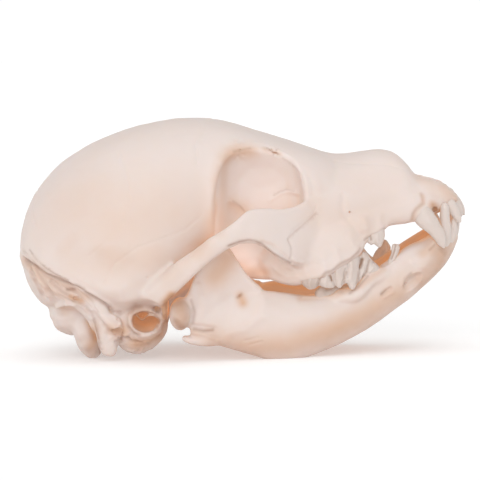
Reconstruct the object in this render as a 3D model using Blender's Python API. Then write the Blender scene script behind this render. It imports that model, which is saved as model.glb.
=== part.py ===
"""Skull of a young dog with its jaw closed, standing as it would on a table.

The nose points along +X, the animal's right side faces -Y and +Z is up. The origin lies on
the table under the middle of the skull. Sizes are written in millimetres and turned into
metres by the constant MM.
"""

import math

import bmesh
import bpy
import numpy as np
from mathutils import Matrix, Vector

MM = 0.001

# Driving sizes, in millimetres
BONE_GRAIN = 0.62  # spacing of the fused bone surface
SUTURE_GAP = 0.3  # open seam between neighbouring bones
SETTLE_TURN = 1.05  # degrees, nose down, so that the jaw and the condyles share a level
SETTLE_SHIFT = (-0.42, 0.0, -0.57)
FLOOR = 0.0
BONE_COLOUR = (0.86, 0.77, 0.69, 1.0)
SIDES = {"right": -1, "left": 1}

# Braincase, one row per station: x, top, bottom, half width, height of the widest level,
# and how square the upper and the lower half are (2 is an ellipse)
BRAINCASE = (
    (-47.4, 24.6, 21.6, 2.0, 23.2, 2.0, 2.0),
    (-46.7, 28.6, 18.2, 6.9, 23.3, 2.0, 2.0),
    (-45.4, 32.3, 14.6, 10.4, 23.2, 2.0, 2.0),
    (-42.8, 36.6, 11.2, 14.4, 23.0, 2.0, 2.1),
    (-39.0, 40.8, 9.6, 17.7, 23.0, 2.0, 2.3),
    (-33.9, 44.2, 8.4, 20.5, 23.6, 2.05, 2.6),
    (-28.7, 46.7, 7.6, 22.2, 24.4, 2.1, 2.8),
    (-23.6, 48.6, 7.6, 22.9, 25.4, 2.1, 2.9),
    (-18.5, 49.8, 9.0, 22.6, 26.8, 2.1, 2.7),
    (-13.4, 50.6, 11.2, 21.3, 28.6, 2.1, 2.4),
    (-8.2, 50.6, 13.6, 19.6, 30.8, 2.1, 2.1),
    (-3.1, 49.8, 15.4, 18.0, 33.2, 2.15, 2.0),
    (2.0, 48.3, 16.6, 17.0, 35.0, 2.2, 2.0),
    (7.2, 46.6, 18.2, 16.4, 36.0, 2.25, 2.0),
    (12.3, 45.0, 20.4, 15.8, 36.2, 2.2, 2.0),
    (17.4, 43.3, 24.0, 13.4, 35.4, 2.0, 2.0),
    (22.0, 41.6, 28.0, 9.0, 35.0, 2.0, 2.0),
)

# Muzzle, in the same columns
MUZZLE = (
    (5.0, 37.0, 24.0, 8.0, 29.0, 2.0, 3.0),
    (10.0, 41.6, 23.2, 14.6, 29.0, 2.0, 3.0),
    (14.9, 43.6, 23.6, 15.9, 29.0, 1.9, 3.0),
    (20.0, 43.0, 24.4, 14.2, 29.4, 1.9, 3.0),
    (25.0, 43.5, 25.6, 11.8, 30.6, 1.95, 3.0),
    (29.0, 44.0, 27.0, 10.1, 31.8, 2.0, 3.0),
    (32.0, 43.5, 28.2, 9.2, 32.6, 2.2, 3.0),
    (34.6, 41.3, 29.2, 8.6, 33.0, 2.6, 3.0),
    (36.8, 38.8, 30.0, 8.1, 33.2, 3.0, 3.0),
    (40.2, 38.1, 30.9, 7.4, 33.6, 3.0, 3.0),
    (43.1, 37.0, 31.8, 6.5, 33.8, 2.8, 2.6),
    (45.3, 34.9, 32.0, 5.2, 33.2, 2.6, 2.4),
    (46.3, 33.3, 32.2, 3.6, 32.8, 2.2, 2.2),
)

# Hollow for the eye and the jaw muscle: y, centre x, centre z, half length, half height
ORBIT = (
    (10.2, 4.6, 30.2, 3.4, 7.0),
    (10.8, 4.7, 30.0, 5.4, 10.0),
    (12.2, 4.5, 29.8, 6.9, 12.4),
    (14.4, 4.2, 29.7, 8.1, 14.2),
    (18.0, 3.8, 29.6, 9.1, 15.4),
    (32.0, 3.7, 29.4, 9.7, 16.0),
)
ORBIT_SQUARENESS = 3.0

# Cheek arch: x, top, bottom, y on the left side, half thickness
CHEEK_ARCH = (
    (17.5, 35.2, 23.6, 11.8, 2.6),
    (14.6, 34.6, 21.0, 14.4, 2.2),
    (11.8, 33.4, 20.3, 17.0, 1.8),
    (9.6, 32.6, 21.1, 19.0, 1.5),
    (7.6, 32.5, 22.3, 20.5, 1.35),
    (5.4, 32.6, 24.3, 21.9, 1.3),
    (3.4, 32.6, 25.8, 23.0, 1.25),
    (1.2, 32.4, 26.2, 24.0, 1.2),
    (-1.3, 30.4, 25.6, 24.8, 1.2),
    (-3.4, 28.9, 24.4, 25.1, 1.25),
    (-5.8, 27.3, 22.4, 25.2, 1.3),
    (-9.2, 24.9, 19.4, 24.7, 1.45),
    (-12.9, 22.2, 15.8, 23.2, 1.8),
    (-16.2, 19.4, 12.8, 20.9, 2.6),
    (-20.5, 17.6, 11.4, 17.6, 3.0),
)
# Swept bars: x, y on the left side, z, half height, half width
ALVEOLAR_RIDGE = (
    (42.6, 4.6, 33.0, 1.8, 1.8),
    (39.0, 6.4, 32.6, 2.8, 2.0),
    (34.0, 7.8, 31.2, 2.8, 2.0),
    (28.6, 9.2, 29.9, 2.5, 2.0),
    (23.6, 11.6, 27.2, 3.6, 2.6),
    (18.0, 13.2, 24.6, 4.6, 3.0),
    (12.0, 13.4, 23.4, 5.0, 3.0),
)
TOOTH_SOCKETS = (
    (12.8, 14.7, 19.2, 1.9, 1.5),
    (15.4, 14.6, 19.6, 1.9, 1.5),
    (17.6, 14.2, 20.6, 1.9, 1.5),
    (20.0, 13.2, 21.9, 1.8, 1.4),
    (22.4, 12.4, 23.3, 1.8, 1.4),
    (24.4, 11.5, 24.6, 1.7, 1.2),
    (25.0, 11.2, 26.2, 1.4, 1.0),
)
NUCHAL_CREST = (
    (-46.5, 0.0, 20.4, 1.3, 1.0),
    (-44.9, 8.9, 19.0, 1.3, 1.0),
    (-41.0, 13.5, 16.8, 1.3, 1.0),
    (-36.5, 16.0, 14.8, 1.3, 1.0),
    (-32.0, 17.3, 12.9, 1.4, 1.1),
    (-28.6, 17.6, 10.6, 1.6, 1.3),
    (-26.0, 17.0, 8.0, 2.0, 1.7),
    (-24.6, 16.0, 5.8, 1.5, 1.5),
)
BESIDE_CONDYLE = (
    (-39.5, 12.4, 14.2, 1.9, 1.7),
    (-35.8, 13.9, 12.6, 2.2, 1.9),
    (-32.2, 14.7, 10.0, 2.4, 1.8),
    (-29.8, 14.9, 6.8, 2.4, 1.7),
    (-28.6, 14.7, 3.6, 2.2, 1.5),
    (-28.3, 14.4, 1.2, 1.5, 1.1),
)
SKULL_BASE = (
    (-30.8, 0.0, 5.4, 1.8, 6.2),
    (-26.0, 0.0, 7.6, 2.6, 5.4),
    (-18.0, 0.0, 11.2, 3.0, 6.0),
    (-8.0, 0.0, 15.6, 3.4, 6.4),
    (0.0, 0.0, 19.4, 3.6, 6.6),
    (8.0, 0.0, 23.0, 3.4, 7.0),
    (16.0, 0.0, 26.0, 3.0, 8.0),
)
PTERYGOID = (
    (10.0, 10.4, 20.4, 3.4, 1.8),
    (5.0, 10.8, 19.8, 3.0, 1.5),
    (1.4, 10.6, 19.6, 2.6, 1.3),
    (-2.0, 9.6, 19.4, 2.2, 1.2),
    (-5.6, 8.0, 18.4, 1.6, 1.1),
    (-8.4, 6.6, 17.0, 1.0, 0.9),
)
PALATINE = (
    (13.0, 10.8, 24.6, 4.0, 2.4),
    (5.0, 10.6, 24.0, 3.8, 2.4),
    (-3.0, 9.6, 22.6, 3.6, 2.6),
    (-9.0, 8.8, 20.4, 3.4, 3.0),
)
NOSE_OPENING = (
    (50.0, 0.0, 41.0, 5.6, 4.1),
    (44.0, 0.0, 39.0, 4.7, 4.0),
    (39.0, 0.0, 37.4, 3.9, 3.9),
    (34.0, 0.0, 36.4, 3.5, 3.5),
    (28.0, 0.0, 35.4, 2.6, 2.6),
)
PALATE_HOLLOW = (
    (41.0, 0.0, 30.2, 1.4, 3.6),
    (34.0, 0.0, 27.6, 1.9, 5.0),
    (27.0, 0.0, 24.8, 2.2, 6.6),
    (20.0, 0.0, 22.4, 2.6, 8.2),
    (12.0, 0.0, 20.6, 2.6, 9.0),
    (6.0, 0.0, 18.8, 2.6, 8.4),
)
SPINAL_HOLE = (
    (-39.5, 0.0, -3.0, 3.4, 4.8),
    (-35.0, 0.0, 1.6, 3.4, 4.7),
    (-31.8, 0.0, 5.0, 2.8, 4.2),
    (-29.4, 0.0, 7.6, 1.6, 2.6),
)
THROAT_HOLLOW = (
    (10.0, 0.0, 21.8, 2.4, 3.2),
    (4.0, 0.0, 18.6, 2.8, 3.6),
    (-3.0, 0.0, 14.8, 2.6, 3.6),
    (-9.0, 0.0, 11.2, 2.0, 3.4),
)

# Egg shapes: centre, radii, and turn about the Y axis in degrees
CHEEK_BULB = ((13.6, 12.9, 22.6), (11.8, 4.4, 6.0), -14)
FRONT_BULB = ((20.6, 11.8, 25.6), (5.0, 3.6, 4.6), -40)
CONDYLE = ((-32.5, 7.7, 3.7), (2.6, 3.1, 4.1), -24)
CONDYLE_TOP = ((-33.3, 8.3, 6.4), (2.7, 3.1, 4.0), -14)
MASTOID = ((-26.0, 15.8, 8.0), (1.8, 1.6, 3.4), 10)
VERMIS_BULGE = ((-36.3, 0.0, 9.3), (5.0, 11.0, 5.1), 0)
OCCIPUT_BULGE = ((-39.6, 0.0, 13.6), (4.6, 9.0, 3.8), 35)
BULLA = ((-21.2, 11.0, 6.3), (5.9, 5.6, 4.5), -33)
BEHIND_JOINT = ((-16.1, 17.6, 11.6), (0.9, 3.4, 3.0), 0)
EAR_RING = ((-20.6, 15.2, 8.8), (4.2, 4.4, 4.9), 0)
EAR_HOLE = ((-20.2, 19.8, 9.4), (3.3, 5.6, 2.9), 0)

# Lower jaw, right and left alike
JAW_BODY = (
    (-9.0, 17.0, 9.4, 4.6, 1.2),
    (-3.0, 16.2, 8.8, 5.7, 1.7),
    (4.0, 14.8, 8.0, 7.0, 2.5),
    (9.0, 13.6, 7.0, 7.1, 2.8),
    (14.0, 12.4, 7.6, 6.4, 2.9),
    (19.0, 11.0, 9.0, 5.8, 2.8),
    (24.1, 9.6, 11.0, 5.2, 2.7),
    (29.1, 8.2, 14.0, 4.9, 2.6),
    (34.2, 6.6, 17.6, 4.8, 2.6),
    (38.7, 4.9, 21.3, 4.4, 2.7),
    (42.2, 3.4, 24.6, 3.5, 2.4),
    (44.3, 2.5, 27.0, 2.3, 1.8),
)
RAMUS_OUTLINE = (
    (14.0, 11.4),
    (8.0, 13.2),
    (4.3, 14.7),
    (2.8, 16.6),
    (0.7, 18.9),
    (-0.6, 21.2),
    (-2.4, 23.9),
    (-4.6, 26.0),
    (-6.4, 25.4),
    (-7.8, 22.4),
    (-9.0, 18.4),
    (-10.4, 15.2),
    (-12.6, 12.6),
    (-13.4, 10.2),
    (-12.0, 7.6),
    (-11.4, 5.2),
    (-8.2, 3.7),
    (-4.3, 3.6),
    (0.0, 2.8),
    (6.0, 2.8),
    (14.0, 4.6),
)
RAMUS_Y = 17.6  # at the joint, on the left side
RAMUS_LEAN = 0.17  # outwards for each millimetre up
RAMUS_TURN = 0.30  # inwards for each millimetre forward of the joint
RAMUS_THICKNESS = 2.0
ANGLE_HOOK = (
    (-3.0, 16.6, 5.6, 1.9, 1.3),
    (-8.0, 17.0, 5.0, 1.5, 1.1),
    (-12.3, 16.9, 5.2, 0.8, 0.8),
)
JAW_JOINT = ((-12.9, 18.4, 10.4), (2.4, 4.2, 3.5), 0)
MUSCLE_HOLLOW = ((-3.4, 20.6, 12.4), (5.6, 2.6, 6.6), 20)

# Milk teeth, one row per cusp: neck x, y, z, tip x, y, z, half length, half width, bow
UPPER_TEETH = (
    (45.3, 1.3, 33.2, 47.2, 1.5, 30.5, 0.75, 1.05, 0.2),
    (44.8, 3.3, 33.0, 46.8, 3.7, 29.8, 0.80, 0.95, 0.2),
    (43.8, 5.1, 32.8, 46.2, 5.5, 28.3, 0.95, 0.90, 0.3),
    (38.3, 7.4, 31.2, 42.6, 7.1, 23.3, 1.90, 1.30, 0.9),
    (28.6, 10.0, 27.6, 28.8, 10.4, 23.8, 1.10, 0.85, 0.0),
    (26.6, 10.7, 26.6, 26.8, 11.1, 24.4, 0.95, 0.80, 0.0),
    (22.6, 12.8, 21.6, 22.9, 13.7, 15.4, 1.45, 1.15, 0.0),
    (20.5, 13.3, 20.0, 19.9, 14.2, 15.7, 1.25, 1.15, 0.0),
    (17.5, 14.2, 19.6, 18.3, 14.9, 15.9, 1.50, 1.30, 0.0),
    (14.4, 14.7, 18.4, 14.2, 15.3, 14.8, 1.60, 1.30, 0.0),
)
LOWER_TEETH = (
    (44.6, 1.15, 26.4, 46.1, 1.3, 29.6, 0.65, 0.85, 0.2),
    (44.1, 2.9, 26.3, 45.6, 3.2, 29.6, 0.65, 0.85, 0.2),
    (43.5, 4.2, 26.2, 44.9, 4.9, 29.5, 0.70, 0.80, 0.2),
    (42.7, 5.2, 26.4, 42.6, 6.9, 32.9, 1.25, 1.10, 0.3),
    (32.3, 8.1, 21.0, 32.5, 8.2, 24.1, 1.35, 0.80, 0.0),
    (27.0, 9.5, 18.0, 25.5, 10.4, 22.4, 1.60, 0.95, 0.0),
    (24.6, 10.0, 16.8, 24.0, 10.8, 20.0, 1.30, 0.95, 0.0),
    (21.0, 10.9, 14.8, 21.4, 11.5, 18.2, 1.50, 1.15, 0.0),
    (18.2, 11.5, 13.6, 18.0, 12.1, 16.6, 1.60, 1.15, 0.0),
)
CROWN_PROFILE = ((-0.30, 0.80), (0.0, 0.95), (0.25, 1.0), (0.55, 0.78), (0.82, 0.45), (1.0, 0.14))

# Seams: x and z along a cut that runs the width of the skull
MUZZLE_SEAM = (
    (22.4, 54.0), (19.6, 43.0), (17.4, 37.6), (14.0, 33.2), (9.0, 28.0), (3.0, 24.6), (0.4, 19.0),
    (0.4, 6.0),
)
OCCIPUT_SEAM = (
    (-54.0, 22.0), (-47.2, 18.9), (-44.6, 17.0), (-41.0, 15.0), (-36.5, 13.1), (-31.4, 11.0),
    (-27.6, 8.6), (-26.2, 5.4), (-26.1, -4.0),
)
# Block round a cheek arch: low x, z, y and high x, z, y
ARCH_BLOCK = (
    (9.8, 18.6, 16.4, 16.2, 34.6, 13.4),
    (7.6, 19.0, 17.8, 10.0, 35.4, 16.6),
    (2.0, 21.6, 19.4, 3.6, 35.6, 19.4),
    (-4.0, 19.0, 20.8, -3.4, 32.6, 20.8),
    (-8.0, 15.2, 20.4, -9.8, 27.8, 21.9),
    (-11.2, 13.2, 18.6, -16.2, 21.2, 22.4),
)
ARCH_BLOCK_OUTSIDE = 32.0
# Block round an ear capsule: y, then how high the block stands at its four upper corners
BULLA_BLOCK = (
    (4.6, 7.4, 8.0, 8.0, 7.6),
    (12.6, 7.6, 8.2, 8.2, 7.8),
    (14.4, 8.6, 9.4, 13.4, 9.2),
    (24.0, 8.6, 9.4, 13.4, 9.2),
)
TRIANGLES = {"cranium": 5200, "jaw": 1000}


def smooth_rows(rows, count):
    """Rows read along a smooth curve through the given ones, evenly by chord length."""
    rows = np.array(rows, float)
    steps = np.linalg.norm(np.diff(rows[:, :3], axis=0), axis=1)
    at = np.concatenate(([0.0], np.cumsum(steps)))
    slope = np.gradient(rows, at, axis=0)
    want = np.linspace(0.0, at[-1], count)
    index = np.clip(np.searchsorted(at, want, side="right") - 1, 0, len(at) - 2)
    span = (at[index + 1] - at[index])[:, None]
    t = ((want - at[index]) / span[:, 0])[:, None]
    start, end = rows[index], rows[index + 1]
    return (
        (2 * t**3 - 3 * t**2 + 1) * start
        + (t**3 - 2 * t**2 + t) * span * slope[index]
        + (3 * t**2 - 2 * t**3) * end
        + (t**3 - t**2) * span * slope[index + 1]
    )


def bend(value, power):
    return math.copysign(abs(value) ** power, value)


def new_object(name, mesh):
    obj = bpy.data.objects.new(name, mesh)
    bpy.context.scene.collection.objects.link(obj)
    return obj


def loft(name, rings):
    """A closed skin over rings of equal length, in millimetres, with a fan at each end."""
    bm = bmesh.new()
    made = [[bm.verts.new(Vector(p) * MM) for p in ring] for ring in rings]
    around = len(made[0])
    for ring, following in zip(made, made[1:]):
        for k in range(around):
            after = (k + 1) % around
            bm.faces.new((ring[k], ring[after], following[after], following[k]))
    bm.faces.new(made[0])
    bm.faces.new(made[-1])
    bmesh.ops.recalc_face_normals(bm, faces=bm.faces)
    mesh = bpy.data.meshes.new(name)
    bm.to_mesh(mesh)
    bm.free()
    return new_object(name, mesh)


def hull_of_stations(name, stations, count, around):
    """The body whose cross sections stand at x stations, such as the braincase."""
    rings = []
    for x, top, bottom, width, level, upper, lower in smooth_rows(stations, count):
        ring = []
        for k in range(around):
            turn = 2 * math.pi * k / around
            across, up = math.cos(turn), math.sin(turn)
            square = upper if up > 0 else lower
            reach = (top - level) if up > 0 else (level - bottom)
            y = width * bend(across, 2 / square)
            z = level + reach * bend(up, 2 / square)
            ring.append((x, y, z))
        rings.append(ring)
    return loft(name, rings)


def orbit_cutter(name, side, count=18, around=40):
    rings = []
    for y, x, z, long, high in smooth_rows(ORBIT, count):
        ring = []
        for k in range(around):
            turn = 2 * math.pi * k / around
            square = 2 / ORBIT_SQUARENESS
            ring.append(
                (
                    x + long * bend(math.cos(turn), square),
                    side * y,
                    z + high * bend(math.sin(turn), square),
                )
            )
        rings.append(ring)
    return loft(name, rings)


def bar(name, stations, side=1, count=40, around=20, square=2.4):
    """A bar of oval section swept along its stations."""
    rows = smooth_rows(stations, count)
    centres = rows[:, :3] * (1, side, 1)
    heading = np.gradient(centres, axis=0)
    rings = []
    for centre, ahead, (high, wide) in zip(centres, heading, rows[:, 3:5]):
        ahead = Vector(ahead).normalized()
        across = Vector((0, 0, 1)).cross(ahead)
        if across.length < 1e-3:
            across = Vector((0, 1, 0))
        across.normalize()
        above = ahead.cross(across)
        ring = []
        for k in range(around):
            turn = 2 * math.pi * k / around
            out = across * wide * bend(math.cos(turn), 2 / square)
            ring.append(Vector(centre) + out + above * high * bend(math.sin(turn), 2 / square))
        rings.append(ring)
    return loft(name, rings)


def egg(name, shape, side=1):
    (x, y, z), radii, turn = shape
    bm = bmesh.new()
    bmesh.ops.create_uvsphere(bm, u_segments=32, v_segments=20, radius=1.0)
    place = (
        Matrix.Translation(Vector((x, side * y, z)) * MM)
        @ Matrix.Rotation(math.radians(turn), 4, "Y")
        @ Matrix.Diagonal(Vector(radii) * MM).to_4x4()
    )
    bmesh.ops.transform(bm, matrix=place, verts=bm.verts)
    mesh = bpy.data.meshes.new(name)
    bm.to_mesh(mesh)
    bm.free()
    return new_object(name, mesh)


def ramus(name, side):
    """The upright plate of the lower jaw, thinned towards its edge."""
    outline = np.array(RAMUS_OUTLINE, float)
    middle = outline.mean(axis=0)
    rings = []
    for offset, scale in ((-0.5, 0.90), (-0.3, 0.97), (0.0, 1.0), (0.3, 0.97), (0.5, 0.90)):
        ring = []
        for x, z in middle + (outline - middle) * scale:
            y = RAMUS_Y + (z - 8) * RAMUS_LEAN - max(x + 9, 0) * RAMUS_TURN
            ring.append((x, side * (y + offset * RAMUS_THICKNESS), z))
        rings.append(ring)
    return loft(name, rings)


def wall(name, stations, side, count=56, around=20, square=2.6):
    """An upright bar given by its top, its bottom, its place across and its half thickness."""
    rings = []
    rows = np.array(stations, float)[:, [0, 3, 1, 2, 4]]
    for x, y, top, bottom, thick in smooth_rows(rows, count):
        ring = []
        for k in range(around):
            turn = 2 * math.pi * k / around
            out = thick * bend(math.cos(turn), 2 / square)
            up = (top - bottom) / 2 * bend(math.sin(turn), 2 / square)
            ring.append((x, side * (y + out), (top + bottom) / 2 + up))
        rings.append(ring)
    return loft(name, rings)


def crown(name, cusp, side, around=10):
    """One cusp from the root sunk in the bone to its tip."""
    neck = Vector((cusp[0], side * cusp[1], cusp[2]))
    tip = Vector((cusp[3], side * cusp[4], cusp[5]))
    long, wide, bow = cusp[6:]
    axis = (tip - neck).normalized()
    across = axis.cross(Vector((1, 0, 0))).normalized()
    along = across.cross(axis).normalized()
    rings = []
    for t, scale in CROWN_PROFILE:
        centre = neck.lerp(tip, t) + along * bow * 4 * t * (1 - t) * abs(along.x)
        ring = []
        for k in range(around):
            turn = 2 * math.pi * k / around
            step = along * long * math.cos(turn) + across * wide * math.sin(turn)
            ring.append(centre + step * scale)
        rings.append(ring)
    return loft(name, rings)


def seam(name, path, half=SUTURE_GAP / 2, reach=34.0):
    """A thin wall across the skull that follows a line in the XZ plane."""
    points = [Vector((x, 0, z)) for x, z in path]
    rings = []
    for k, point in enumerate(points):
        before = points[max(k - 1, 0)]
        after = points[min(k + 1, len(points) - 1)]
        ahead = (after - before).normalized()
        out = Vector((-ahead.z, 0, ahead.x)) * half
        low, high = point - out, point + out
        rings.append(
            [
                (low.x, -reach, low.z),
                (low.x, reach, low.z),
                (high.x, reach, high.z),
                (high.x, -reach, high.z),
            ]
        )
    return loft(name, rings)


def arch_block(name, side):
    rings = []
    for low_x, low_z, low_y, high_x, high_z, high_y in ARCH_BLOCK:
        rings.append(
            [
                (low_x, side * low_y, low_z),
                (low_x, side * ARCH_BLOCK_OUTSIDE, low_z),
                (high_x, side * ARCH_BLOCK_OUTSIDE, high_z),
                (high_x, side * high_y, high_z),
            ]
        )
    return loft(name, rings)


def bulla_block(name, side):
    rings = []
    for y, front, step, top, back in BULLA_BLOCK:
        outline = (
            (-25.9, -3.0),
            (-14.4, -3.0),
            (-14.4, front),
            (-16.9, step),
            (-16.9, top),
            (-25.2, top),
            (-25.9, back),
        )
        rings.append([(x, side * y, z) for x, z in outline])
    return loft(name, rings)


def box(name, low, high):
    bottom = [(low[0], low[1]), (high[0], low[1]), (high[0], high[1]), (low[0], high[1])]
    return loft(name, [[(x, y, z) for x, y in bottom] for z in (low[2], high[2])])


def grown(obj, amount):
    """A copy of a closed piece that stands a set distance outside it."""
    bm = bmesh.new()
    bm.from_mesh(obj.data)
    bm.normal_update()
    moved = [v.co + v.normal * amount * MM * min(v.calc_shell_factor(), 2.0) for v in bm.verts]
    for vert, place in zip(bm.verts, moved):
        vert.co = place
    mesh = bpy.data.meshes.new(obj.name + "_clear")
    bm.to_mesh(mesh)
    bm.free()
    return new_object(obj.name + "_clear", mesh)


def copy_of(obj, name):
    return new_object(name, obj.data.copy())


def evaluated_copy(obj, name):
    bpy.context.view_layer.update()
    graph = bpy.context.evaluated_depsgraph_get()
    mesh = bpy.data.meshes.new_from_object(obj.evaluated_get(graph))
    for old in list(obj.modifiers):
        obj.modifiers.remove(old)
    obj.data = mesh
    obj.name = name
    return obj


def join(name, objects):
    """One object that holds the meshes of several, which are removed."""
    bm = bmesh.new()
    for obj in objects:
        bm.from_mesh(obj.data)
        bpy.data.objects.remove(obj)
    mesh = bpy.data.meshes.new(name)
    bm.to_mesh(mesh)
    bm.free()
    return new_object(name, mesh)


def fused(obj, grain=BONE_GRAIN, rounds=3):
    """Overlapping shells become one skin, and its creases are rounded."""
    remesh = obj.modifiers.new("fuse", "REMESH")
    remesh.mode = "VOXEL"
    remesh.voxel_size = grain * MM
    smooth = obj.modifiers.new("round", "SMOOTH")
    smooth.factor = 0.5
    smooth.iterations = rounds
    return evaluated_copy(obj, obj.name)


def combine(obj, others, operation):
    """Each of the others is cut out of the piece, kept in common with it or added to it."""
    for other in others:
        step = obj.modifiers.new("combine", "BOOLEAN")
        step.operation = operation
        step.object = other
        step.solver = "EXACT"
    evaluated_copy(obj, obj.name)
    for other in others:
        bpy.data.objects.remove(other)
    return obj


def carve(obj, cutters):
    return combine(obj, cutters, "DIFFERENCE")


def thinned(obj, triangles):
    obj.data.calc_loop_triangles()
    thin = obj.modifiers.new("thin", "DECIMATE")
    thin.ratio = min(1.0, triangles / len(obj.data.loop_triangles))
    thin.use_collapse_triangulate = True
    return evaluated_copy(obj, obj.name)


def islands(obj):
    """The separate closed pieces of an object, largest first, as lists of face indices."""
    bm = bmesh.new()
    bm.from_mesh(obj.data)
    bm.faces.ensure_lookup_table()
    seen = set()
    found = []
    for start in bm.faces:
        if start.index in seen:
            continue
        group = []
        queue = [start]
        seen.add(start.index)
        while queue:
            face = queue.pop()
            group.append(face.index)
            for edge in face.edges:
                for other in edge.link_faces:
                    if other.index not in seen:
                        seen.add(other.index)
                        queue.append(other)
        found.append(group)
    sizes = []
    for group in found:
        points = np.array([v.co for index in group for v in bm.faces[index].verts])
        sizes.append(float(np.prod(points.max(0) - points.min(0))))
    order = sorted(range(len(found)), key=lambda k: -sizes[k])
    bm.free()
    return [found[k] for k in order]


def keep_faces(obj, group, name):
    bm = bmesh.new()
    bm.from_mesh(obj.data)
    keep = set(group)
    bmesh.ops.delete(bm, geom=[f for f in bm.faces if f.index not in keep], context="FACES")
    mesh = bpy.data.meshes.new(name)
    bm.to_mesh(mesh)
    bm.free()
    return new_object(name, mesh)


def largest(obj):
    only = keep_faces(obj, islands(obj)[0], obj.name)
    name = obj.name
    bpy.data.objects.remove(obj)
    only.name = name
    return only


def settled(obj):
    """The bone set down on the table, with a small flat where it touches."""
    place = Matrix.Translation(Vector(SETTLE_SHIFT) * MM) @ Matrix.Rotation(
        math.radians(SETTLE_TURN), 4, "Y"
    )
    obj.data.transform(place)
    if min(v.co.z for v in obj.data.vertices) < FLOOR:
        carve(obj, [box("floor", (-60, -40, -20), (60, 40, FLOOR))])
    return obj


def finish(obj):
    """Merged, triangulated, smooth shaded and painted as bone."""
    name = obj.name
    bm = bmesh.new()
    bm.from_mesh(obj.data)
    bmesh.ops.remove_doubles(bm, verts=bm.verts, dist=0.00001)
    bmesh.ops.dissolve_degenerate(bm, edges=bm.edges, dist=0.000005)
    bmesh.ops.triangulate(bm, faces=bm.faces)
    for face in bm.faces:
        face.smooth = True
    bm.to_mesh(obj.data)
    bm.free()
    material = bpy.data.materials.new(name + "_bone")
    material.use_nodes = True
    shader = material.node_tree.nodes["Principled BSDF"]
    shader.inputs["Base Color"].default_value = BONE_COLOUR
    shader.inputs["Roughness"].default_value = 0.55
    shader.inputs["Metallic"].default_value = 0.0
    obj.data.materials.clear()
    obj.data.materials.append(material)
    return obj


def cranium():
    vault = join(
        "vault",
        [
            hull_of_stations("braincase_form", BRAINCASE, 90, 72),
            hull_of_stations("muzzle_form", MUZZLE, 60, 56),
            bar("base_form", SKULL_BASE),
        ],
    )
    fused(vault, rounds=2)
    carve(vault, [orbit_cutter("orbit_" + s, SIDES[s]) for s in SIDES])
    added = [vault, egg("vermis", VERMIS_BULGE), egg("squama", OCCIPUT_BULGE)]
    for name, side in SIDES.items():
        added += [
            wall("arch_" + name, CHEEK_ARCH, side),
            bar("ridge_" + name, ALVEOLAR_RIDGE, side),
            bar("sockets_" + name, TOOTH_SOCKETS, side),
            bar("crest_" + name, NUCHAL_CREST, side),
            bar("beside_" + name, BESIDE_CONDYLE, side),
            bar("wing_" + name, PTERYGOID, side),
            bar("palatine_" + name, PALATINE, side),
            egg("cheek_" + name, CHEEK_BULB, side),
            egg("front_" + name, FRONT_BULB, side),
            egg("condyle_" + name, CONDYLE, side),
            egg("condyle_top_" + name, CONDYLE_TOP, side),
            egg("mastoid_" + name, MASTOID, side),
            egg("bulla_" + name, BULLA, side),
            egg("behind_" + name, BEHIND_JOINT, side),
            egg("ring_" + name, EAR_RING, side),
        ]
    skull = fused(join("skull", added), rounds=4)
    cutters = [
        bar("nose", NOSE_OPENING),
        bar("palate", PALATE_HOLLOW),
        bar("throat", THROAT_HOLLOW),
        bar("spine", SPINAL_HOLE),
    ]
    cutters += [egg("ear_" + s, EAR_HOLE, SIDES[s]) for s in SIDES]
    carve(skull, cutters)
    return fused(skull, rounds=2)


def lower_jaw(name, side):
    jaw = join(
        "mandible_" + name,
        [
            bar("body", JAW_BODY, side, 60),
            ramus("ramus", side),
            bar("hook", ANGLE_HOOK, side),
            egg("joint", JAW_JOINT, side),
        ],
    )
    fused(jaw, rounds=2)
    carve(jaw, [egg("hollow", MUSCLE_HOLLOW, side)])
    fused(jaw, rounds=2)
    thinned(jaw, TRIANGLES["jaw"])
    low, high = sorted((side * SUTURE_GAP / 2, side * -40))
    carve(jaw, [box("middle", (-60, low, -20), (60, high, 60))])
    return largest(jaw)


def add_teeth(obj, teeth, sides):
    crowns = []
    for side in sides:
        crowns += [crown("crown", cusp, side) for cusp in teeth]
    return combine(obj, crowns, "UNION")


def part_the_skull(skull, jaws):
    """The skull is cut into its bones, which stay where they are."""
    carve(skull, [grown(jaw, 0.35) for jaw in jaws])
    pieces = []
    for kind, block in (("zygomatic_arch_", arch_block), ("bulla_", bulla_block)):
        for name, side in SIDES.items():
            region = block("block", side)
            piece = copy_of(skull, kind + name)
            combine(piece, [copy_of(region, "region")], "INTERSECT")
            pieces.append(largest(piece))
            carve(skull, [grown(region, SUTURE_GAP)])
            bpy.data.objects.remove(region)
    carve(skull, [seam("muzzle_seam", MUZZLE_SEAM), seam("occiput_seam", OCCIPUT_SEAM)])
    groups = islands(skull)[:3]
    parts = [keep_faces(skull, group, "piece") for group in groups]
    bpy.data.objects.remove(skull)
    parts.sort(key=lambda part: np.mean([v.co.x for v in part.data.vertices]))
    for part, name in zip(parts, ("occiput", "braincase", "muzzle")):
        part.name = name
    return pieces + parts


def main():
    for obj in list(bpy.data.objects):
        bpy.data.objects.remove(obj)
    skull = cranium()
    thinned(skull, TRIANGLES["cranium"])
    jaws = []
    for name, side in SIDES.items():
        jaw = lower_jaw(name, side)
        jaws.append(largest(add_teeth(jaw, LOWER_TEETH, [side])))
    bones = part_the_skull(skull, jaws)
    for bone in bones:
        if bone.name == "muzzle":
            bones[bones.index(bone)] = largest(add_teeth(bone, UPPER_TEETH, SIDES.values()))
    for bone in bones + jaws:
        finish(settled(bone))


main()
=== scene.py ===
import math
import bmesh
import bpy
import numpy as np
from mathutils import Matrix, Vector, noise
from mathutils.bvhtree import BVHTree


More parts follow.
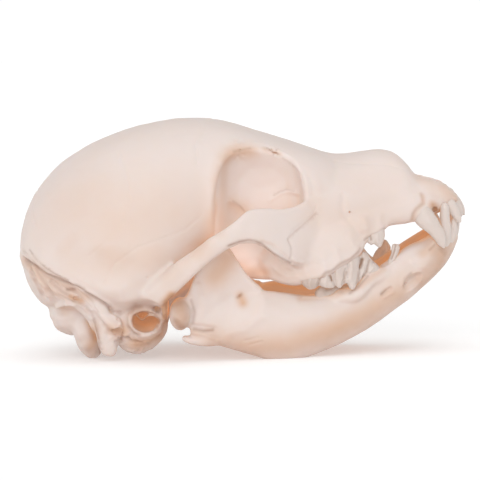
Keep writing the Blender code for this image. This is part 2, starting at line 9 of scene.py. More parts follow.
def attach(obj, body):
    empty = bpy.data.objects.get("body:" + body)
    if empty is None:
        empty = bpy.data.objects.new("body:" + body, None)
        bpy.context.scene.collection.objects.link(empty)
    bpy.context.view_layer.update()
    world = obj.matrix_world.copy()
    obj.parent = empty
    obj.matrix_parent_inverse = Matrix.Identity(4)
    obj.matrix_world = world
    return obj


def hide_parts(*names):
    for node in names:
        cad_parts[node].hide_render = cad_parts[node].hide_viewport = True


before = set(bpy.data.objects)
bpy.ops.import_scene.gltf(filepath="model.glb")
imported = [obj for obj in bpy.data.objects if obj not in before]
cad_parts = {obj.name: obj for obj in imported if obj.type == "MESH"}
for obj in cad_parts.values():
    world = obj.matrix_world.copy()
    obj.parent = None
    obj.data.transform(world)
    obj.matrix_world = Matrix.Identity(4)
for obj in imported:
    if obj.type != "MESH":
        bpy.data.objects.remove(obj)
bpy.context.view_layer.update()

# Skull of a puppy with closed jaws: bone, milk teeth, plain floor, soft light.
# Shapes are worked out in millimetres with the teeth row level, then set down on the table.
mm = 0.001
sides = {"right": -1, "left": 1}
settle = {"turn": 1.05, "shift": (-0.42, 0.0, -0.57)}  # nose down in degrees, then moved
placed = Matrix.Translation(Vector(settle["shift"]) * mm) @ Matrix.Rotation(
    math.radians(settle["turn"]), 4, "Y"
)

camera = {
    "pixelsPerMm": 4.68,  # in the plane of symmetry
    "pixels": 480,
    "distance": 600.0,
    "elevation": 4.0,
    "aim": (-0.53, 0.0, 24.5),
    "sensor": 36.0,
    "clip": (0.01, 20),
}
lift = math.radians(camera["elevation"])
back = Vector((0, -math.cos(lift), math.sin(lift)))
eye = Vector(camera["aim"]) + back * camera["distance"]


def makeCamera():
    data = bpy.data.cameras.new("photoCamera")
    data.sensor_width = camera["sensor"]
    data.lens = camera["sensor"] * camera["distance"] * camera["pixelsPerMm"] / camera["pixels"]
    data.clip_start, data.clip_end = camera["clip"]
    obj = bpy.data.objects.new("photoCamera", data)
    bpy.context.scene.collection.objects.link(obj)
    aimed = Matrix.Translation(eye * mm) @ (-back).to_track_quat("-Z", "Y").to_matrix().to_4x4()
    obj.matrix_world = placed @ aimed
    bpy.context.scene.camera = obj


makeCamera()
print("camera ready")


# Shells: each is (points in mm, faces), closed and facing out


def smoothRows(rows, count):
    rows = np.array(rows, float)
    steps = np.linalg.norm(np.diff(rows[:, :3], axis=0), axis=1)
    at = np.concatenate(([0.0], np.cumsum(steps)))
    slope = np.gradient(rows, at, axis=0)
    want = np.linspace(0.0, at[-1], count)
    index = np.clip(np.searchsorted(at, want, side="right") - 1, 0, len(at) - 2)
    span = (at[index + 1] - at[index])[:, None]
    t = ((want - at[index]) / span[:, 0])[:, None]
    first, last = rows[index], rows[index + 1]
    return (
        (2 * t**3 - 3 * t**2 + 1) * first
        + (t**3 - 2 * t**2 + t) * span * slope[index]
        + (3 * t**2 - 2 * t**3) * last
        + (t**3 - t**2) * span * slope[index + 1]
    )


def bend(value, power):
    return np.sign(value) * np.abs(value) ** power


def turns(around):
    angle = np.linspace(0, 2 * np.pi, around, endpoint=False)
    return np.cos(angle), np.sin(angle)


def loft(rings):
    rings = np.array(rings, float)
    count, around = rings.shape[:2]
    faces = []
    for i in range(count - 1):
        for k in range(around):
            j = (k + 1) % around
            a, b = i * around, (i + 1) * around
            faces.append((a + k, a + j, b + j, b + k))
    faces.append(tuple(range(around))[::-1])
    faces.append(tuple((count - 1) * around + k for k in range(around)))
    return rings.reshape(-1, 3), faces


def stationHull(stations, count, around):
    cosine, sine = turns(around)
    rings = []
    for x, top, bottom, width, level, upper, lower in smoothRows(stations, count):
        square = np.where(sine > 0, upper, lower)
        reach = np.where(sine > 0, top - level, level - bottom)
        y = width * bend(cosine, 2 / square)
        z = level + reach * bend(sine, 2 / square)
        rings.append(np.stack([np.full(around, x), y, z], axis=1))
    return loft(rings)


def bar(stations, side=1, count=50, around=24, square=2.4):
    rows = smoothRows(stations, count)
    centres = rows[:, :3] * (1, side, 1)
    cosine, sine = turns(around)
    rings = []
    for centre, ahead, (high, wide) in zip(centres, np.gradient(centres, axis=0), rows[:, 3:5]):
        ahead = Vector(ahead).normalized()
        across = Vector((0, 0, 1)).cross(ahead)
        if across.length < 1e-3:
            across = Vector((0, 1, 0))
        across.normalize()
        above = np.array(ahead.cross(across))
        out = np.outer(wide * bend(cosine, 2 / square), np.array(across))
        rings.append(centre + out + np.outer(high * bend(sine, 2 / square), above))
    return loft(rings)


def wall(stations, side, count=70, around=28, square=2.6):
    rows = smoothRows(np.array(stations, float)[:, [0, 3, 1, 2, 4]], count)
    cosine, sine = turns(around)
    rings = []
    for x, y, top, bottom, thick in rows:
        across = side * (y + thick * bend(cosine, 2 / square))
        up = (top + bottom) / 2 + (top - bottom) / 2 * bend(sine, 2 / square)
        rings.append(np.stack([np.full(around, x), across, up], axis=1))
    return loft(rings)


def egg(shape, side=1, around=36, levels=20):
    (x, y, z), radii, turn = shape
    cosine, sine = turns(around)
    tilt = math.radians(turn)
    pole = math.pi / 2 - 0.04  # a small ring at each end
    rings = []
    for lat in np.linspace(-pole, pole, levels):
        flat = math.cos(lat)
        ring = np.stack([cosine * flat, sine * flat, np.full(around, math.sin(lat))], 1) * radii
        along = ring[:, 0] * math.cos(tilt) + ring[:, 2] * math.sin(tilt)
        up = -ring[:, 0] * math.sin(tilt) + ring[:, 2] * math.cos(tilt)
        rings.append(np.stack([along, ring[:, 1], up], 1) + (x, side * y, z))
    return loft(rings)


def tusk(stations, side, count=30, around=20):
    rows = smoothRows(stations, count)
    centres = rows[:, :3] * (1, side, 1)
    cosine, sine = turns(around)
    rings = []
    for centre, ahead, (deep, wide) in zip(centres, np.gradient(centres, axis=0), rows[:, 3:5]):
        ahead = ahead / np.linalg.norm(ahead)
        across = np.array((0.0, 1.0, 0.0)) - ahead[1] * ahead
        across /= np.linalg.norm(across)
        other = np.cross(ahead, across)
        rings.append(centre + np.outer(cosine * wide, across) + np.outer(sine * deep, other))
    return loft(rings)


def blade(tooth, side, step=0.13):
    outline = np.array(tooth["outline"], float)
    spread = np.linspace(0, len(outline), len(outline) * 4, endpoint=False)
    ring = np.concatenate([outline[-2:], outline, outline[:3]])
    near = spread.astype(int) + 2
    t = (spread % 1)[:, None]
    before, a, b, after = ring[near - 1], ring[near], ring[near + 1], ring[near + 2]
    outline = 0.5 * (
        2 * a + (b - before) * t + (2 * before - 5 * a + 4 * b - after) * t**2
        + (3 * a - before - 3 * b + after) * t**3
    )
    low, high = outline.min(axis=0) - step, outline.max(axis=0) + step
    xs = np.arange(low[0], high[0] + step, step)
    zs = np.arange(low[1], high[1] + step, step)
    grid = np.stack(np.meshgrid(xs, zs, indexing="ij"), axis=-1).reshape(-1, 2)
    ends = np.roll(outline, -1, axis=0)
    away = np.full(len(grid), 1e9)
    nearest = np.zeros_like(grid)
    inside = np.zeros(len(grid), bool)
    for a, b in zip(outline, ends):
        along = b - a
        t = np.clip((grid - a) @ along / max(along @ along, 1e-9), 0, 1)
        spot = a + t[:, None] * along
        gap = np.linalg.norm(grid - spot, axis=1)
        closer = gap < away
        away[closer], nearest[closer] = gap[closer], spot[closer]
        crosses = (a[1] > grid[:, 1]) != (b[1] > grid[:, 1])
        reach = a[0] + (grid[:, 1] - a[1]) * along[0] / (along[1] if along[1] else 1e-9)
        inside ^= crosses & (grid[:, 0] < reach)
    flat = np.where(inside[:, None], grid, nearest)
    fill = np.clip(away / tooth["round"], 0, 1)
    thick = np.where(inside, tooth["thick"] * np.sqrt(1 - (1 - fill) ** 2), 0)
    middle = tooth["y"] + (flat[:, 0] - tooth["at"][0]) * tooth["slope"]
    middle = middle + (flat[:, 1] - tooth["at"][1]) * tooth["lean"]
    points, index = [], {}
    for i in range(len(grid)):
        if inside[i]:
            index[i] = (len(points), len(points) + 1)
            for way in (1, -1):
                points.append((flat[i, 0], side * (middle[i] + way * thick[i]), flat[i, 1]))
    faces = []
    count = len(zs)
    for i in range(len(xs) - 1):
        for j in range(len(zs) - 1):
            cell = (i * count + j, (i + 1) * count + j, (i + 1) * count + j + 1, i * count + j + 1)
            if not inside[list(cell)].any():
                continue
            for k in cell:
                if k not in index:  # rim point, shared by the two faces of the blade
                    index[k] = (len(points), len(points))
                    points.append((flat[k, 0], side * middle[k], flat[k, 1]))
            faces.append(tuple(index[k][0] for k in cell))
            faces.append(tuple(index[k][1] for k in reversed(cell)))
    return np.array(points), faces


def joinShells(shells):
    points, faces, start = [], [], 0
    for verts, polygons in shells:
        points.append(verts)
        faces += [tuple(i + start for i in f) for f in polygons]
        start += len(verts)
    return np.concatenate(points), faces


def inScene(name, data):
    obj = bpy.data.objects.new(name, data)
    bpy.context.scene.collection.objects.link(obj)
    return obj


def meshObject(name, shells):
    points, faces = joinShells(shells)
    mesh = bpy.data.meshes.new(name)
    mesh.from_pydata((points * mm).tolist(), [], faces)
    bm = bmesh.new()
    bm.from_mesh(mesh)
    bmesh.ops.recalc_face_normals(bm, faces=bm.faces)
    bm.to_mesh(mesh)
    bm.free()
    return inScene(name, mesh)


def baked(obj):
    bpy.context.view_layer.update()
    graph = bpy.context.evaluated_depsgraph_get()
    mesh = bpy.data.meshes.new_from_object(obj.evaluated_get(graph))
    for modifier in list(obj.modifiers):
        obj.modifiers.remove(modifier)
    obj.data = mesh
    return obj


def addShells(obj, shells):
    more = meshObject("more", shells)
    bm = bmesh.new()
    bm.from_mesh(obj.data)
    bm.from_mesh(more.data)
    bm.to_mesh(obj.data)
    bm.free()
    bpy.data.objects.remove(more)
    return obj


def fuse(obj, grain, rounds):
    remesh = obj.modifiers.new("fuse", "REMESH")
    remesh.mode = "VOXEL"
    remesh.voxel_size = grain * mm
    smooth = obj.modifiers.new("round", "SMOOTH")
    smooth.factor = 0.5
    smooth.iterations = rounds
    return baked(obj)


def carve(obj, shells):
    cutters = []
    for shell in shells:
        cutter = meshObject("cutter", [shell])
        cut = obj.modifiers.new("carve", "BOOLEAN")
        cut.operation = "DIFFERENCE"
        cut.object = cutter
        cutters.append(cutter)
    baked(obj)
    for cutter in cutters:
        bpy.data.objects.remove(cutter)
    return obj


def keepLargest(obj):
    bm = bmesh.new()
    bm.from_mesh(obj.data)
    bm.verts.ensure_lookup_table()
    reached = np.zeros(len(bm.verts), bool)
    best = []
    for start in bm.verts:
        if reached[start.index]:
            continue
        group, queue = [], [start]
        reached[start.index] = True
        while queue:
            vert = queue.pop()
            group.append(vert)
            for edge in vert.link_edges:
                other = edge.other_vert(vert)
                if not reached[other.index]:
                    reached[other.index] = True
                    queue.append(other)
        if len(group) > len(best):
            best = group
    keep = {v.index for v in best}
    bmesh.ops.delete(bm, geom=[v for v in bm.verts if v.index not in keep], context="VERTS")
    bm.to_mesh(obj.data)
    bm.free()
    return obj


# Fine modelling on the points of a finished mesh, all in mm


def grab(items, key, width, kind=float):
    flat = np.empty(len(items) * width, kind)
    items.foreach_get(key, flat)
    return flat.reshape(-1, width)


def pointsOf(obj):
    return grab(obj.data.vertices, "co", 3) / mm


def putPoints(obj, points):
    obj.data.vertices.foreach_set("co", (points * mm).ravel())
    obj.data.update()


def normalsOf(obj):
    return grab(obj.data.vertex_normals, "vector", 3)


def facesOf(obj):
    return [tuple(p.vertices) for p in obj.data.polygons]


def averaged(values, edges, count):
    a, b = edges[:, 0], edges[:, 1]
    degree = np.bincount(a, minlength=count) + np.bincount(b, minlength=count)
    total = np.stack(
        [
            np.bincount(a, values[b, k], minlength=count)
            + np.bincount(b, values[a, k], minlength=count)
            for k in range(values.shape[1])
        ],
        axis=1,
    )
    return total / np.maximum(degree, 1)[:, None]


def fromLine(points, line):
    line = np.array(line, float)
    best = np.full(len(points), 1e9)
    for a, b in zip(line, line[1:]):
        along = b - a
        t = np.clip((points - a) @ along / max(along @ along, 1e-9), 0, 1)
        best = np.minimum(best, np.linalg.norm(points - (a + t[:, None] * along), axis=1))
    return best


def waves(points, rows):  # noise as rows of scale, seed, height
    total = np.zeros(len(points))
    for scale, seed, height in rows:
        shift = Vector((seed, seed * 1.7, seed * 2.3))
        total += np.array([noise.noise(Vector(p) * scale + shift) for p in points]) * height
    return total


def treeOf(obj, flip=1):  # flip -1 turns a left piece into a right one, as the side view shows it
    return BVHTree.FromPolygons((pointsOf(obj) * (1, flip, 1)).tolist(), facesOf(obj))


def seen(tree, x, z):  # where the side view shows the point (x, z) of the plane of symmetry
    return tree.ray_cast(eye, (Vector((x, 0, z)) - eye).normalized())


def trace(tree, line, above=0.0, step=0.4):  # a line of the side view laid on the bone
    line = np.array(line, float) + (0, above)
    points = []
    for a, b in zip(line, line[1:]):
        for t in np.arange(0, 1, step / max(np.linalg.norm(b - a), step)):
            hit = seen(tree, *(a + (b - a) * t))[0]
            if hit is not None:
                points.append(hit)
    hit = seen(tree, *line[-1])[0]
    return np.array(points + ([hit] if hit is not None else []))


def nearSpot(points, middle, reach):  # closeness from 0 to 1 to a place, the same on both sides
    away = (np.abs(points) * (0, 1, 0) + points * (1, 0, 1) - middle) / reach
    return np.exp(-((away**2).sum(axis=1)))


def nearLine(points, line, reach):  # closeness from 0 to 1, only worked out beside the line
    low, high = line.min(axis=0) - 3 * reach, line.max(axis=0) + 3 * reach
    beside = np.all((points > low) & (points < high), axis=1)
    close = np.zeros(len(points))
    close[beside] = np.exp(-((fromLine(points[beside], line) / reach) ** 2))
    return close


def lineOf(part, line):  # points of a line, or of the part's line with that name
    if not isinstance(line, str):
        return line
    shared = part.get("shared", {})
    return shared[line] if line in shared else part["lines"][line][2]


def raised(push, points, tree, part, ways):  # adds the part's lines to what pushes each point
    for reach, height, line, *above in part["lines"].values():
        path = trace(tree, lineOf(part, line), *above)
        if len(path) > 1:
            for way in ways:
                push += nearLine(points, path * (1, way, 1), reach) * height
    return push


def pit(tree, x, z, wide, high, deep, out=0.4):  # an egg sunk into the bone where the view shows it
    hit, normal = seen(tree, x, z)[:2]
    centre = hit - normal * (deep - out)
    verts, faces = egg(((0, 0, 0), (wide, high, deep), 0), around=16, levels=10)
    turn = normal.to_track_quat("Z", "Y").to_matrix()
    return np.array([turn @ Vector(v) + centre for v in verts]), faces


def flipped(shell, way=-1):
    return shell[0] * (1, way, 1), shell[1]


def setFloat(obj, name, values):
    layer = obj.data.attributes.get(name) or obj.data.attributes.new(name, "FLOAT", "POINT")
    layer.data.foreach_set("value", np.asarray(values, np.float32))


# Cranium: braincase, muzzle, cheek arches, ear capsules and occiput, grown together

cranium = {
    "grain": 0.5,
    "fine": 0.3,
    "triangles": 186000,
    # Noise: scale, seed, height
    "waves": ((0.14, 3, 0.16), (0.5, 8, 0.05)),
    "rearWaves": ((0.55, 5, 0.25),),
    "rear": ((-26, 6), (16, 5)),  # behind this x and below this z, each setting in over a length
    "grit": ((1, 9, 1), (2.1, 2, 0.5)),
    # x, top, bottom, half width, widest level, squareness above and below
    "braincase": (
        (-47.4, 24.6, 21.6, 2, 23.2, 2, 2), (-46.7, 28.6, 18.2, 6.9, 23.3, 2, 2),
        (-45.4, 32.3, 14.6, 10.4, 23.2, 2, 2), (-42.8, 36.6, 11.2, 14.4, 23, 2, 2.1),
        (-39, 40.8, 9.6, 17.7, 23, 2, 2.3), (-33.9, 44.2, 8.4, 20.5, 23.6, 2.05, 2.6),
        (-28.7, 46.7, 7.6, 22.2, 24.4, 2.1, 2.8), (-23.6, 48.6, 7.6, 22.9, 25.4, 2.1, 2.9),
        (-18.5, 49.8, 9, 22.6, 26.8, 2.1, 2.7), (-13.4, 50.6, 11.2, 21.3, 28.6, 2.1, 2.4),
        (-8.2, 50.6, 13.6, 19.6, 30.8, 2.1, 2.1), (-3.1, 49.8, 15.4, 18, 33.2, 2.15, 2),
        (2, 48.3, 16.6, 17, 35, 2.2, 2), (7.2, 46.6, 18.2, 16.4, 36, 2.25, 2),
        (12.3, 45, 20.4, 15.8, 36.2, 2.2, 2), (17.4, 43.3, 24, 13.4, 35.4, 2, 2),
        (22, 41.6, 28, 9, 35, 2, 2),
    ),
    "muzzle": (
        (5, 37, 24, 8, 29, 2, 3), (10, 41.6, 23.2, 14.6, 29, 2, 3),
        (14.9, 43.6, 23.6, 15.9, 29, 1.9, 3), (20, 43, 24.4, 14.2, 29.4, 1.9, 3),
        (25, 43.5, 25.6, 11.8, 30.6, 1.95, 3), (29, 44, 27, 10.1, 31.8, 2, 3),
        (32, 43.5, 28.2, 9.2, 32.6, 2.2, 3), (34.6, 41.3, 29.2, 8.6, 33, 2.6, 3),
        (36.8, 38.8, 30, 8.1, 33.2, 3, 3), (40.2, 38.1, 30.9, 7.4, 33.6, 3, 3),
        (43.1, 37, 31.8, 6.5, 33.8, 2.8, 2.6), (45.3, 34.9, 32, 5.2, 33.2, 2.6, 2.4),
        (46.3, 33.3, 32.2, 3.6, 32.8, 2.2, 2.2),
    ),
    # Hollow of the eye and the jaw muscle: y, x, z, half length, half height
    "orbit": (
        (10.2, 4.2, 31.5, 2.6, 5), (10.7, 4.1, 31, 4.8, 8.6), (11.6, 4, 30.4, 6.5, 11.6),
        (12.8, 4, 30, 7.8, 14.6), (14.4, 3.8, 29.8, 8.7, 15.6), (16.4, 3.6, 29.7, 9.3, 16.2),
        (19, 3.4, 29.5, 9.6, 16.8), (32, 3.2, 29.4, 10, 17.4),
    ),
    "orbitSquare": 3,
    # Cheek arch: x, top, bottom, y, half thickness
    "arch": (
        (17.5, 35.2, 23.6, 11.8, 2.6), (14.6, 34.6, 21, 14.4, 2.2), (11.8, 33.4, 20, 17, 1.8),
        (9.6, 32.6, 20.6, 19, 1.5), (7.6, 32.5, 21.7, 20.5, 1.35), (5.4, 32.6, 23.5, 21.9, 1.3),
        (3.4, 32.6, 24.9, 23, 1.25), (1.2, 32.4, 25.4, 24, 1.2), (-1.3, 30.4, 25, 24.8, 1.2),
        (-3.4, 28.9, 24.1, 25.1, 1.25), (-5.8, 27.3, 22.4, 25.2, 1.3), (-9.2, 24.9, 19.4, 24.7, 1.45),
        (-12.9, 22.2, 15.8, 23.2, 1.8), (-16.2, 19.4, 12.8, 20.9, 2.6), (-20.5, 17.6, 11.4, 17.6, 3),
    ),
    # Bars: x, y, z, half height, half width
    "toothRidge": (
        (42.6, 4.6, 33, 1.8, 1.8), (39, 6.4, 32.6, 2.8, 2), (34, 7.8, 31.2, 2.8, 2),
        (28.6, 9.2, 29.9, 2.5, 2), (23.6, 11.6, 27.2, 3.6, 2.6), (18, 13.2, 24.6, 4.6, 3),
        (12, 13.4, 23.4, 5, 3),
    ),
    "nuchalCrest": (
        (-46.5, 0, 20.4, 1.3, 1), (-44.9, 8.9, 19, 1.3, 1), (-41, 13.5, 16.8, 1.3, 1),
        (-36.5, 16, 14.8, 1.3, 1), (-32, 17.3, 12.9, 1.4, 1.1), (-28.6, 17.6, 10.6, 1.6, 1.3),
        (-26, 17, 8, 2, 1.7), (-24.6, 16, 5.8, 1.5, 1.5),
    ),
    "besideCondyle": (
        (-39.5, 12.2, 14.6, 1.4, 1.5), (-36.4, 13.4, 13.9, 1.5, 1.7), (-33.8, 14.2, 12.7, 1.7, 1.8),
        (-31.4, 14.8, 10.6, 2, 1.8), (-29.6, 15, 8, 2.1, 1.7), (-28.5, 14.9, 5.4, 2.1, 1.6),
        (-28.1, 14.7, 3.4, 2.1, 1.4), (-28.2, 14.5, 1.8, 1.8, 1.2), (-28.4, 14.4, 1.1, 1.2, 0.9),
    ),
    "base": (
        (-30.8, 0, 5.4, 1.8, 6.2), (-26, 0, 7.6, 2.6, 5.4), (-18, 0, 11.2, 3, 6),
        (-8, 0, 15.6, 3.4, 6.4), (0, 0, 19.4, 3.6, 6.6), (8, 0, 23, 3.4, 7), (16, 0, 26, 3, 8),
    ),
    "pterygoid": (
        (10, 10.4, 20.4, 3.4, 1.8), (5, 10.8, 19.8, 3, 1.5), (1.4, 10.6, 19.6, 2.6, 1.3),
        (-2, 9.6, 19.4, 2.2, 1.2), (-5.6, 8, 18.4, 1.6, 1.1), (-8.4, 6.6, 17, 1, 0.9),
    ),
    "palatine": (
        (13, 10.8, 24.6, 4, 2.4), (5, 10.6, 24, 3.8, 2.4), (-3, 9.6, 22.6, 3.6, 2.6),
        (-9, 8.8, 20.4, 3.4, 3),
    ),
    "upperGum": (
        (5.4, 12.1, 19.3, 2, 1.5), (8.9, 13.3, 18.2, 2.1, 1.8), (11.6, 14.4, 18, 2, 1.8),
        (13.4, 15.1, 18.5, 1.8, 1.8), (15.2, 15.2, 18.9, 1.8, 1.8), (16.4, 15, 19.1, 1.8, 1.9),
        (17.8, 14.8, 20.2, 1.9, 1.9), (20, 14.1, 21.6, 1.9, 2), (22.4, 13.3, 22.9, 1.8, 2),
        (23.8, 12.7, 24, 1.7, 1.7), (24.4, 12.4, 25.6, 1.4, 1.4),
    ),
    "secondGum": (
        (25.4, 11.6, 27.1, 1.3, 1.5), (27, 10.9, 27.4, 1.3, 1.5), (28.6, 10.3, 27.8, 1.2, 1.3),
        (30, 9.7, 28.5, 1, 1.1),
    ),
    "noseOpening": (
        (50, 0, 41, 5.6, 4.1), (44, 0, 39, 4.7, 4), (39, 0, 37.4, 3.9, 3.9), (34, 0, 36.4, 3.5, 3.5),
        (28, 0, 35.4, 2.6, 2.6),
    ),
    "palate": (
        (41, 0, 30.2, 1.4, 3.6), (34, 0, 27.6, 1.9, 5), (27, 0, 24.8, 2.2, 6.6),
        (20, 0, 22.4, 2.6, 8.2), (12, 0, 20.6, 2.6, 9), (6, 0, 18.8, 2.6, 8.4),
    ),
    "septum": (
        (27, 0, 35.6, 2.6, 0.45), (34, 0, 35.8, 3.2, 0.4), (39, 0, 35.4, 2.6, 0.35),
        (42.6, 0, 34.6, 1.2, 0.35),
    ),
    "concha": (
        (27, 1.8, 36, 1.2, 0.45), (33, 2.2, 36.6, 1.5, 0.45), (36.6, 2.1, 36.6, 1.2, 0.4),
        (38.4, 2, 36.4, 0.5, 0.3),
    ),
    "lowConcha": (
        (27, 1.6, 33.8, 0.6, 0.9), (34, 2.2, 34.2, 0.6, 1.1), (37.4, 2.2, 34.4, 0.4, 0.8),
    ),
    "throat": (
        (10, 0, 21.8, 2.4, 3.2), (4, 0, 18.6, 2.8, 3.6), (-3, 0, 14.8, 2.6, 3.6), (-9, 0, 11.2, 2, 3.4),
    ),
    "spinalHole": (
        (-39.5, 0, -3, 3.4, 4.8), (-35, 0, 1.6, 3.4, 4.7), (-31.8, 0, 5, 2.8, 4.2),
        (-29.4, 0, 7.6, 1.6, 2.6),
    ),
    # Eggs: centre, radii, turn
    "mastoidBulb": ((-26, 15.8, 8), (1.8, 1.6, 3.4), 10),
    "cheekBulb": ((14.2, 12.5, 22.7), (11, 4.3, 5.9), -12),
    "frontBulb": ((20.6, 11.8, 25.6), (5, 3.6, 4.6), -40),
    "condyle": ((-32.5, 7.7, 3.7), (2.6, 3.1, 4.1), -24),
    "condyleTop": ((-33.3, 8.3, 6.4), (2.7, 3.1, 4), -14),
    "vermis": ((-36.3, 0, 9.3), (5, 11, 5.1), 0),
    "squama": ((-39.6, 0, 13.6), (4.6, 9, 3.8), 35),
    "bulla": ((-21.2, 11, 6.3), (5.9, 5.6, 4.5), -33),
    "behindJoint": ((-16.1, 17.6, 11.6), (0.9, 3.4, 3), 0),
    "earRing": ((-20.6, 15.2, 8.8), (4.2, 4.4, 4.9), 0),
    "earHole": ((-20.1, 19.8, 8.7), (3.3, 6.2, 2.25), 6),
    "earRecess": ((-20.8, 21.6, 11.6), (3.9, 3.2, 2.4), 6),
    "mastoid": ((-25.6, 16.4, 7), (1.3, 1.4, 1.2), 0),
    "earRidge": (
        (-23.4, 16, 9.2, 0.2, 1.6), (-22.4, 16, 10.2, 0.2, 1.6), (-21.6, 16, 9.6, 0.2, 1.6),
        (-20.8, 16, 8.9, 0.25, 1.6), (-20.1, 16, 9.7, 0.2, 1.6), (-18.9, 16, 9.9, 0.2, 1.6),
        (-17.6, 16, 9.4, 0.2, 1.6),
    ),
}


def orbitShell(side, count=24, around=56):
    cosine, sine = turns(around)
    square = 2 / cranium["orbitSquare"]
    rings = []
    for y, x, z, long, high in smoothRows(cranium["orbit"], count):
        across = np.full(around, side * y)
        rings.append(
            np.stack([x + long * bend(cosine, square), across, z + high * bend(sine, square)], 1)
        )
    return loft(rings)


